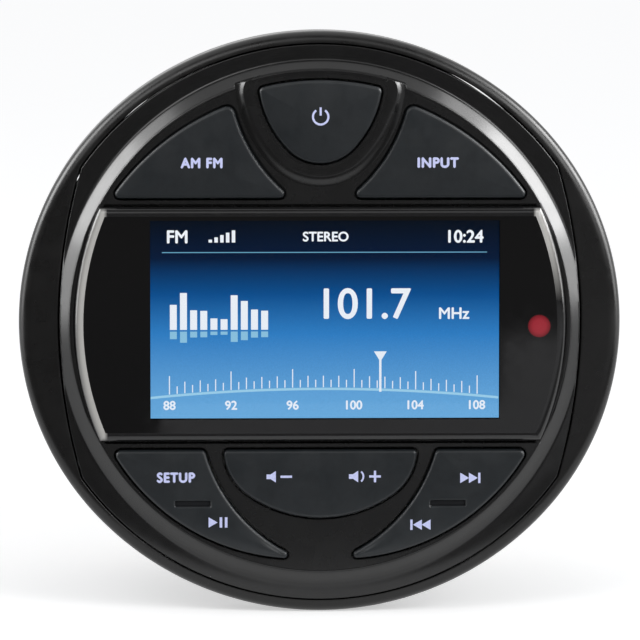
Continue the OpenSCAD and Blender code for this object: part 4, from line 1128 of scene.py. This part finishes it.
def ring_shells(at, r, stroke, start, end, z, count=40):
    """Part of a flat ring: two arcs half a stroke either side of its radius."""
    ray = np.stack(arc_steps(start, end, count), axis=-1)
    return ribbon_shells(np.array(at) + (r - stroke / 2) * ray, np.array(at) + (r + stroke / 2) * ray, z)


def arrow_shells(x, y, way=1):
    """A solid triangle that points right, or left where way is -1."""
    return fan_shells([(x, y - sign / 2), (x + way * sign * 0.86, y), (x, y + sign / 2)], key_z)


def horn_shells(x, y):
    """A loudspeaker sign: a small block and a cone that widens to the right."""
    return fan_shells([(x, y - 0.4), (x + 0.7, y - 0.4), (x + 1.6, y - 1.0), (x + 1.6, y + 1.0),
                       (x + 0.7, y + 0.4), (x, y + 0.4)], key_z)


def legend(name, key, shells):
    """A printed mark that moves with its key."""
    flat("legend_" + name, shells, key + "_key", print_white)


print("legend helpers: signs", sign, "mm high")

# %% [markdown]
# Each legend rides on its key, so it sinks and tilts with it. It lies a hundredth of a millimetre over the
# crown, where no face fights with another.

# %% Key legends
for name, key, text, at, width in (("band", "band", "AM FM", (-20.4, 27.85), 7.0),
                                   ("input", "mode", "INPUT", (20.2, 27.85), 6.9),
                                   ("setup", "menu_play", "SETUP", (-24.9, -26.4), 6.4)):
    legend(name, key, letter_shells(text, at, 1.62, key_z, 0.11, width, 1.12))
legend("power", "power", ring_shells((0, 35.8), 1.32, 0.36, 125, 415, power_z)
       + plate_shells([(-0.18, 36.0, 0.18, 37.4)], power_z))
pause = [(-17.4, -35.1, -16.95, -33.3), (-16.5, -35.1, -16.05, -33.3)]
legend("play", "menu_play", arrow_shells(-19.3, -34.2) + plate_shells(pause, key_z))
legend("next", "track", arrow_shells(24.1, -26.6) + arrow_shells(25.6, -26.6)
       + plate_shells([(27.2, -27.5, 27.6, -25.7)], key_z))
legend("back", "track", arrow_shells(17.5, -34.7, -1) + arrow_shells(19.0, -34.7, -1)
       + plate_shells([(15.5, -35.6, 15.9, -33.8)], key_z))
legend("softer", "volume", horn_shells(-9.3, -26.3) + plate_shells([(-6.9, -26.5, -4.9, -26.1)], key_z))
plus = [(8.4, -26.5, 10.4, -26.1), (9.2, -27.3, 9.6, -26.5), (9.2, -26.1, 9.6, -25.3)]
legend("louder", "volume", horn_shells(4.9, -26.3) + ring_shells((6.3, -26.3), 1.1, 0.3, -50, 50, key_z, 16)
       + plate_shells(plus, key_z))
print("legends: 9")

# %% [markdown]
# ## Metals
# Behind the dash the set is plain engineering: a zinc-plated strap, brass thumb nuts, nickel and gold contacts.
# Metal shows how it was worked, so one fine noise is stretched along the direction of brushing or turning, and
# a slow one stains the gloss and the colour as handling and salt air do.

# %% Metal finish
def metal(name, colour, stain, rough, brush=(1, 1, 1), depth=1.2e-6, edge=0.0):
    """Worked metal: streaks along the axis whose brush value is small, and slow stains between two colours."""
    mat, tree, bsdf = new_finish(name)
    stretch = wire(tree, "Mapping", Vector=here(tree), Scale=brush)
    streak = wire(tree, "TexNoise", Vector=stretch.outputs["Vector"], Scale=5000.0, Detail=3.0).outputs["Fac"]
    feed(bsdf, Base_Color=shades(tree, noise(tree, 180.0, 5.0, 0.6), stain, colour),
         Roughness=spread(tree, streak, rough - 0.08, rough + 0.10), Metallic=1.0)
    bumped(tree, bsdf, streak, depth, edge)
    return mat


lathe = (1, 0.05, 1)
zinc = metal("zinc_plate", (0.50, 0.51, 0.53), (0.42, 0.42, 0.41), 0.34, (0.05, 0.05, 1))
steel = metal("screw_steel", (0.46, 0.46, 0.47), (0.36, 0.355, 0.35), 0.30)
brass = metal("nut_brass", (0.60, 0.41, 0.15), (0.50, 0.32, 0.11), 0.28, lathe)
nickel = metal("socket_nickel", (0.55, 0.53, 0.49), (0.47, 0.45, 0.41), 0.24, lathe)
gold = metal("contact_gold", (0.78, 0.54, 0.19), (0.70, 0.46, 0.15), 0.22, lathe)
anodised = metal("sink_anodised", (0.030, 0.030, 0.032), (0.020, 0.020, 0.021), 0.40, (1, 1, 0.03), 3e-6,
                 0.0002)
print("metals: zinc, steel, brass, nickel, gold, anodised")

# %% [markdown]
# ## Threaded studs
# Two studs stand out of the back, and the nuts run on them. A thread is a surface of two parameters, height and
# turn: its radius is a blunt triangle wave of height over pitch less the turn, so the crest climbs one pitch
# in each turn. The wave is held down at the tip, as a die leaves it.

# %% Studs
stud_r, stud_tip, thread_end, pitch = 2.5, -81.2, -57.3, 0.8
both_studs = (-26.0, 26.0)


def thread(at, r, low, high, depth=0.45, count=32):
    """Radius over height and turn: crest less depth times a blunt triangle wave, with a cone at the tip."""
    a = circle(count)[None, :]
    z = np.linspace(low, high, int((high - low) / pitch * 10) + 1)[:, None]
    wave = np.abs(2 * ((z / pitch - a / (2 * np.pi)) % 1) - 1)
    radius = r - depth * np.clip(1.3 * wave - 0.15, 0, 1)
    radius = np.minimum(radius, r - 0.6 + (z - low))
    return np.stack([at[0] + radius * np.cos(a), at[1] + radius * np.sin(a), z + 0 * a], axis=-1)


studs = []
for x in both_studs:
    screw = thread((x, 0), stud_r, stud_tip, thread_end)
    foot = turned((x, 0), [(stud_r, -57.2), (stud_r, -54), (3.7, -54), (4, -53.7), (4, -52.3), (3.7, -52)], 32)
    studs += closed(np.concatenate([screw, foot]))
build("threaded_studs", studs, "unit", [steel], "clamp_studs", smooth=40)
print("studs: pitch", pitch, "mm,", len(studs[0][0]), "points each")

# %% [markdown]
# ## Thumb nuts and washers
# The nuts are turned from brass bar, with eighteen flutes for the fingers, chamfered ends and a shallow groove
# in each face. The flutes only touch the outer wall, so the radius there is the smaller of the bar and the ray
# to the nearest flute; the chamfers cap that radius near the ends. The washers are plain turned rings.

# %% Nuts and washers
nut_low, nut_high, flutes, flute_r = -69.8, -63.8, 18, 0.8


def flute_reach(a, r, offset):
    """Distance from the axis to the bar or to the near side of the closest flute, whichever comes first."""
    step = 2 * np.pi / flutes
    off = (a + step / 2) % step - step / 2
    inside = flute_r ** 2 - (offset * np.sin(off)) ** 2
    return np.where(inside > 0, np.minimum(r, offset * np.cos(off) - np.sqrt(np.maximum(inside, 0))), r)


def nut_shells(x, low, high, r=7.5, bore=2.8):
    """Rings of a section whose outer steps are fluted: bore, grooved face, chamfer, wall and back again."""
    a = circle(flutes * 16)
    flute = flute_reach(a, r, r + flute_r / 3)
    end = [(bore, 0.6), (bore + 0.6, 0), (4.3, 0), (4.5, 0.25), (5.6, 0.25), (5.8, 0)]
    wall = [(6.55, 0), (6.95, 0.2), (7.25, 0.5), (7.5, 0.9)]
    rows = [(ri, low + zi) for ri, zi in end] + [(np.minimum(flute, ri), low + zi) for ri, zi in wall]
    rows += [(ri, low + high - zi) for ri, zi in rows[::-1]]
    return [quads(rings(a, rows, (x, 0)), along=True)]


for label, x in zip(("left", "right"), both_studs):
    build("thumb_nut_" + label, nut_shells(x, nut_low, nut_high), "nut_" + label, [brass], "clamp_nut_" + label,
          smooth=30)
washer = [(2.8, -63.6), (2.9, -63.7), (6.3, -63.7), (6.5, -63.5), (6.5, -62.8), (6.4, -62.7), (2.9, -62.7),
          (2.8, -62.8)]
build("strap_washers", [quads(turned((x, 0), washer), along=True) for x in both_studs], "bracket", [steel],
      "clamp_washers", smooth=30)
print("nuts:", flutes, "flutes, washers 13 mm across")

# %% [markdown]
# ## The strap
# The strap is one flat bar of 16 x 1.6 mm, bent four times: a base behind the cover, two legs beside the barrel
# and two feet that press on the dash. A flat bar can't turn a sharp corner, so its path is straight runs joined
# by arcs, and a rectangle with eased edges is carried along it. Towards the ends it narrows by a quarter
# circle, which rounds the feet's corners. The stud holes are drilled afterwards.

# %% Strap
foot_z, base_z, leg_x, foot_x = -6.8, -61.9, 40.15, 48.95
bend_r, half_wide, half_thick, toe_r, toe_steps, strap_ease = 1.9, 8.0, 0.8, 3.0, 9, 0.25
stud_hole_r, drill_low, drill_high = 3.1, -64, -60


def bent_path(corners, r, steps=8):
    """Points along a line whose inner corners are square and become arcs of radius r."""
    corners = np.asarray(corners, float)
    t = np.linspace(0, np.pi / 2, steps)[:, None]
    parts = [corners[:1]]
    for before, corner, after in zip(corners[:-2], corners[1:-1], corners[2:]):
        u, v = (way / np.linalg.norm(way) for way in (before - corner, after - corner))
        parts.append(corner + r * (u + v) - r * v * np.cos(t) - r * u * np.sin(t))
    return np.concatenate(parts + [corners[-1:]])


path = bent_path([(-foot_x, foot_z), (-leg_x, foot_z), (-leg_x, base_z), (leg_x, base_z), (leg_x, foot_z),
                  (foot_x, foot_z)], bend_r)
toe_x = -foot_x + toe_r * (1 - np.cos(np.linspace(0, np.pi / 2, toe_steps)))
toe = np.stack([toe_x, np.full(toe_steps, foot_z)], axis=-1)
path = np.concatenate([toe, path[1:-1], toe[::-1] * (-1, 1)])
slope = np.gradient(path, axis=0)
slope[:toe_steps], slope[-toe_steps:] = (1, 0), (1, 0)
slope = slope / np.linalg.norm(slope, axis=1, keepdims=True)
normal = np.stack([-slope[:, 1], slope[:, 0]], axis=-1)
from_toe = np.minimum(foot_x - np.abs(path[:, 0]), toe_r)
half = half_wide - toe_r + np.sqrt(toe_r ** 2 - (toe_r - from_toe) ** 2)
c, s = arc_steps(0, 90, 4)
up, out = half_thick - strap_ease + strap_ease * c, strap_ease * s - strap_ease
thick = np.concatenate([up, -up[::-1], -up, up[::-1]])
wide = np.concatenate([out, out[::-1], -out, -out[::-1]])
side = np.repeat([1, -1], 8)
bar = np.stack([path[:, :1] + normal[:, :1] * thick, side * half[:, None] + wide,
                path[:, 1:] + normal[:, 1:] * thick], axis=-1)
strap = build("clamp_strap", closed(bar), "bracket", [zinc], "clamp_bracket")
for x in both_studs:
    cut(strap, rod_shells((x, 0), stud_hole_r, drill_low, drill_high, 48))
print("strap:", len(path), "steps along,", len(strap.data.polygons), "faces")

# %% [markdown]
# ## Screws with a cross recess
# Pan-head screws hold the cover and the cooling fins. The head is a height over a disc: a flattened dome, less
# a cross-shaped pocket that is deep where a point is near both the head's middle and one of two lines through
# it. The shank below the head is a plain turned pin, because the plastic hides it.

# %% Screws
head_r, head_high, head_rim, shank_r, recess = 2.4, 1.6, 0.35, 1.2, 0.95


def screw_shells(at, seat, tip, turn_by):
    """Head over a disc, standing towards -z from its seat, then its rim, underside and shank."""
    a = circle(96)[None, :]
    share = np.concatenate([np.linspace(0.02, 0.62, 22), np.linspace(0.66, 0.97, 10), [0.985, 1.0]])
    out = share[:, None] * head_r
    dome = head_rim + (head_high - head_rim) * (1 - (out / head_r) ** 4) ** 0.5
    near = out * np.minimum(np.abs(np.cos(a)), np.abs(np.sin(a)))
    pocket = recess * (1 - smooth_step(near, 0.26, 0.44)) * (1 - smooth_step(out, 1.1, 1.4))
    x, y = out * np.cos(a + turn_by), out * np.sin(a + turn_by)
    head = np.stack([at[0] + x, at[1] + y, seat - dome + pocket], axis=-1)
    under = turned(at, [(head_r, seat), (shank_r, seat), (shank_r, tip - 0.8), (0.3, tip)], 96)
    return closed(np.concatenate([head, under]))


cover_r, cover_seat, cover_tip = 32.7, -57.0, -41.0
sink_y, sink_seat, sink_tip = 23.6, -60.5, -54.0
cover_screws = [part for k, a in enumerate(np.radians([35, 145, 255])) for part in
                screw_shells((cover_r * math.cos(a), cover_r * math.sin(a)), cover_seat, cover_tip, 0.4 + k)]
sink_screws = [part for x in (-12, 12) for part in screw_shells((x, sink_y), sink_seat, sink_tip, 0.2 + x)]
build("cover_screw_set", cover_screws, "unit", [steel], "cover_screws", smooth=40)
build("sink_screw_set", sink_screws, "unit", [steel], "heat_sink_screws", smooth=40)
print("screws: 5 cross-recessed")

# %% [markdown]
# ## Sockets
# The round sockets are turned shells. The two line outputs are gold-plated, each with a moulded insulator round
# its contact tube, one white and one red as is usual for left and right. The antenna socket is a nickel sleeve
# with an insulator and a contact tube at its bottom. Sections run from the outside in through the bore.

# %% Round sockets
def socket_shells(at, outside, inside, insulator):
    """A turned shell, an insulator from its bore to the contact tube, and the tube with its closed bottom."""
    outer, inner = turned(at, outside), turned(at, inside)
    return [quads(outer), lid(outer[0]), quads(np.array([outer[-1], inner[0]]), finish=insulator), quads(inner),
            lid(inner[-1], insulator)]


insulator_white = plastic("insulator_white", (0.62, 0.61, 0.58), 0.42, depth=3e-6)
insulator_red = plastic("insulator_red", (0.36, 0.018, 0.016), 0.40, depth=3e-6)
shell = [(5.55, -51), (5.55, -54), (4.75, -54), (4.75, -57.3), (4.15, -57.6), (4.15, -59), (3.95, -59.2),
         (3.95, -59.7), (4.15, -59.9), (4.15, -65.6), (3.85, -66), (3.35, -66), (3.15, -65.8), (3.15, -64.9)]
tube = [(1.95, -64.9), (1.95, -65.5), (1.85, -65.6), (1.7, -65.6), (1.6, -65.4), (1.6, -57.2)]
line_out_x, upper_out_y, lower_out_y, antenna_at = 4.2, -13.55, -24.55, (18.5, -16)
line_outs = socket_shells((line_out_x, upper_out_y), shell, tube, 1)
line_outs += socket_shells((line_out_x, lower_out_y), shell, tube, 2)
build("line_out_pair", line_outs, "unit", [gold, insulator_white, insulator_red], "line_out_sockets",
      smooth=30)

sleeve = [(8, -51), (8, -53.8), (7.8, -54), (6.5, -54), (6.5, -57.4), (6.3, -57.6), (6.3, -58.2), (6.5, -58.4),
          (6.5, -65.5), (6.1, -66), (5.1, -66), (4.6, -65.4), (4.6, -54.6)]
contact = [(2.1, -54.6), (2.1, -56.6), (1.9, -56.8), (1.4, -56.8), (1.2, -56.6), (1.2, -54.4)]
build("antenna_sleeve", socket_shells(antenna_at, sleeve, contact, 1), "unit", [nickel, insulator_white],
      "antenna_socket", smooth=30)
print("sockets: 2 line outputs, 1 antenna")

# %% [markdown]
# ## Housing, cover and harness socket
# The housing, its cover and the harness socket keep their solids. The mould for parts that nobody looks at has
# a coarser spark-eroded grain, and all their edges are eased in the shading by about half a millimetre.

# %% Mouldings
dress(plastic("housing_black", (0.0125, 0.0125, 0.0130), 0.52, 3200.0, 1.4e-5, gloss=0.4, edge=0.0005),
      "rear_housing")
dress(plastic("cover_black", (0.0105, 0.0105, 0.0110), 0.56, 2600.0, 1.8e-5, gloss=0.4, edge=0.0004),
      "rear_cover")
dress(plastic("socket_cream", (0.60, 0.55, 0.44), 0.44, 5000.0, edge=0.00025), "harness_socket",
      "ribbon_headers")
dress(plastic("tray_white", (0.66, 0.66, 0.64), 0.45, edge=0.0002), "display_tray", "rocker_saddles")
dress(plastic("chip_black", (0.016, 0.016, 0.017), 0.62, 9000.0, 6e-6, edge=0.0002), "amplifier_chip",
      "tact_switches", "ir_receiver")
dress(plastic("can_sleeve", (0.012, 0.016, 0.045), 0.34, 2000.0, 2e-6, edge=0.0004), "capacitors")
dress(anodised, "heat_sink")
dress(gold, "harness_pins")
dress(steel, "rocker_pins", "panel_screws", "board_screws")
dress(metal("can_tin", (0.52, 0.52, 0.50), (0.44, 0.44, 0.43), 0.36, (0.05, 1, 1), edge=0.0003), "tuner_can")
dress(metal("backlight_sheet", (0.60, 0.61, 0.62), (0.55, 0.56, 0.57), 0.30, (0.05, 1, 1)), "backlight_plate")
print("mouldings and small metal dressed")

# %% [markdown]
# ## Rubber, boards and what lies inside
# Gaskets and seals are closed-cell rubber: cells of a quarter millimetre, quite matt. The boards are green with
# copper runs under the lacquer, which a brick pattern gives, and tinned pads, which are the hearts of a cell
# pattern. The choke is copper wire on a ring, so its finish is a wave along one axis, as the ribbon cable's is.

# %% Rubber, board and stripe finishes
def rubber(name, colour, cell=3800.0, depth=3e-5, rough=0.78):
    """Closed-cell rubber: cells as bump, each with a hollow heart a little lighter than its walls."""
    mat, tree, bsdf = new_finish(name)
    cells = wire(tree, "TexVoronoi", Vector=here(tree), Scale=cell).outputs["Distance"]
    feed(bsdf, Base_Color=shades(tree, cells, tint(colour, 1.25), tint(colour, 0.7), 0.1, 0.8),
         Roughness=spread(tree, noise(tree, 300.0), rough - 0.08, rough + 0.08), Specular_IOR_Level=0.3)
    bumped(tree, bsdf, cells, depth, 0.0003)
    return mat


def board(name):
    """Green lacquer over copper runs, with tinned pads where a cell pattern comes close to its points."""
    mat, tree, bsdf = new_finish(name)
    place = here(tree)
    lay = wire(tree, "Mapping", Vector=place, Rotation=(math.pi / 2, 0, 0)).outputs["Vector"]
    runs = wire(tree, "TexBrick", Vector=lay, Color1=(0.010, 0.070, 0.032, 1), Color2=(0.012, 0.080, 0.036, 1),
                Mortar=(0.020, 0.125, 0.050, 1), Scale=420.0, Mortar_Size=0.05, Brick_Width=1.6,
                Row_Height=0.55)
    cells = wire(tree, "TexVoronoi", Vector=place, Scale=300.0).outputs["Distance"]
    pad = spread(tree, cells, 1.0, 0.0, 0.16, 0.19)
    colour = wire(tree, "Mix", use={"data_type": "RGBA"}, Factor=pad, A=runs.outputs["Color"],
                  B=(0.45, 0.45, 0.43, 1)).outputs["Result"]
    feed(bsdf, Base_Color=colour, Metallic=pad, Roughness=spread(tree, noise(tree, 400.0), 0.24, 0.36))
    bumped(tree, bsdf, runs.outputs["Fac"], 1.5e-5)
    return mat


def striped(name, first, second, scale, axis, rough):
    """Stripes along an axis, for ribbon cable and wound wire."""
    mat, tree, bsdf = new_finish(name)
    wave = wire(tree, "TexWave", use={"bands_direction": axis}, Vector=here(tree), Scale=scale,
                Distortion=0.3).outputs["Fac"]
    feed(bsdf, Base_Color=shades(tree, wave, first, second, 0.2, 0.8),
         Roughness=spread(tree, noise(tree, 500.0), rough - 0.05, rough + 0.05))
    bumped(tree, bsdf, wave, 8e-5)
    return mat


print("finishes: rubber, board, striped")

# %% [markdown]
# Last, the solids that lie inside or at the seams get these finishes. Few of them show when the set is closed,
# but a part that is taken to pieces should look right too.

# %% Inner parts
dress(rubber("gasket_foam", (0.012, 0.012, 0.0125)), "panel_gasket")
dress(rubber("seal_rubber", (0.016, 0.016, 0.017), 2600.0, 1.5e-5, 0.66), "cover_seal")
dress(rubber("mat_silicone", (0.50, 0.50, 0.48), 1800.0, 4e-6, 0.52), "keypad_mat")
dress(rubber("lens_tape_foam", (0.010, 0.010, 0.0105), 5200.0, 1e-5, 0.8), "lens_tape")
dress(board("board_green"), "front_board", "main_board")
dress(striped("ribbon_grey", (0.34, 0.34, 0.35), (0.55, 0.55, 0.56), 160.0, "X", 0.45), "ribbon_cable")
dress(striped("choke_wire", (0.26, 0.10, 0.030), (0.62, 0.27, 0.09), 260.0, "Z", 0.32), "filter_choke")
dress(plastic("led_resin", (0.62, 0.63, 0.56), 0.22, depth=1e-6), "legend_leds")
dress(plastic("window_red", (0.20, 0.006, 0.010), 0.12, depth=5e-7, drift=0.03), "ir_window")
dress(plastic("display_dark", (0.006, 0.006, 0.008), 0.10, depth=3e-7, drift=0.03), "display_glass")
print("rubber, boards and inner parts dressed")
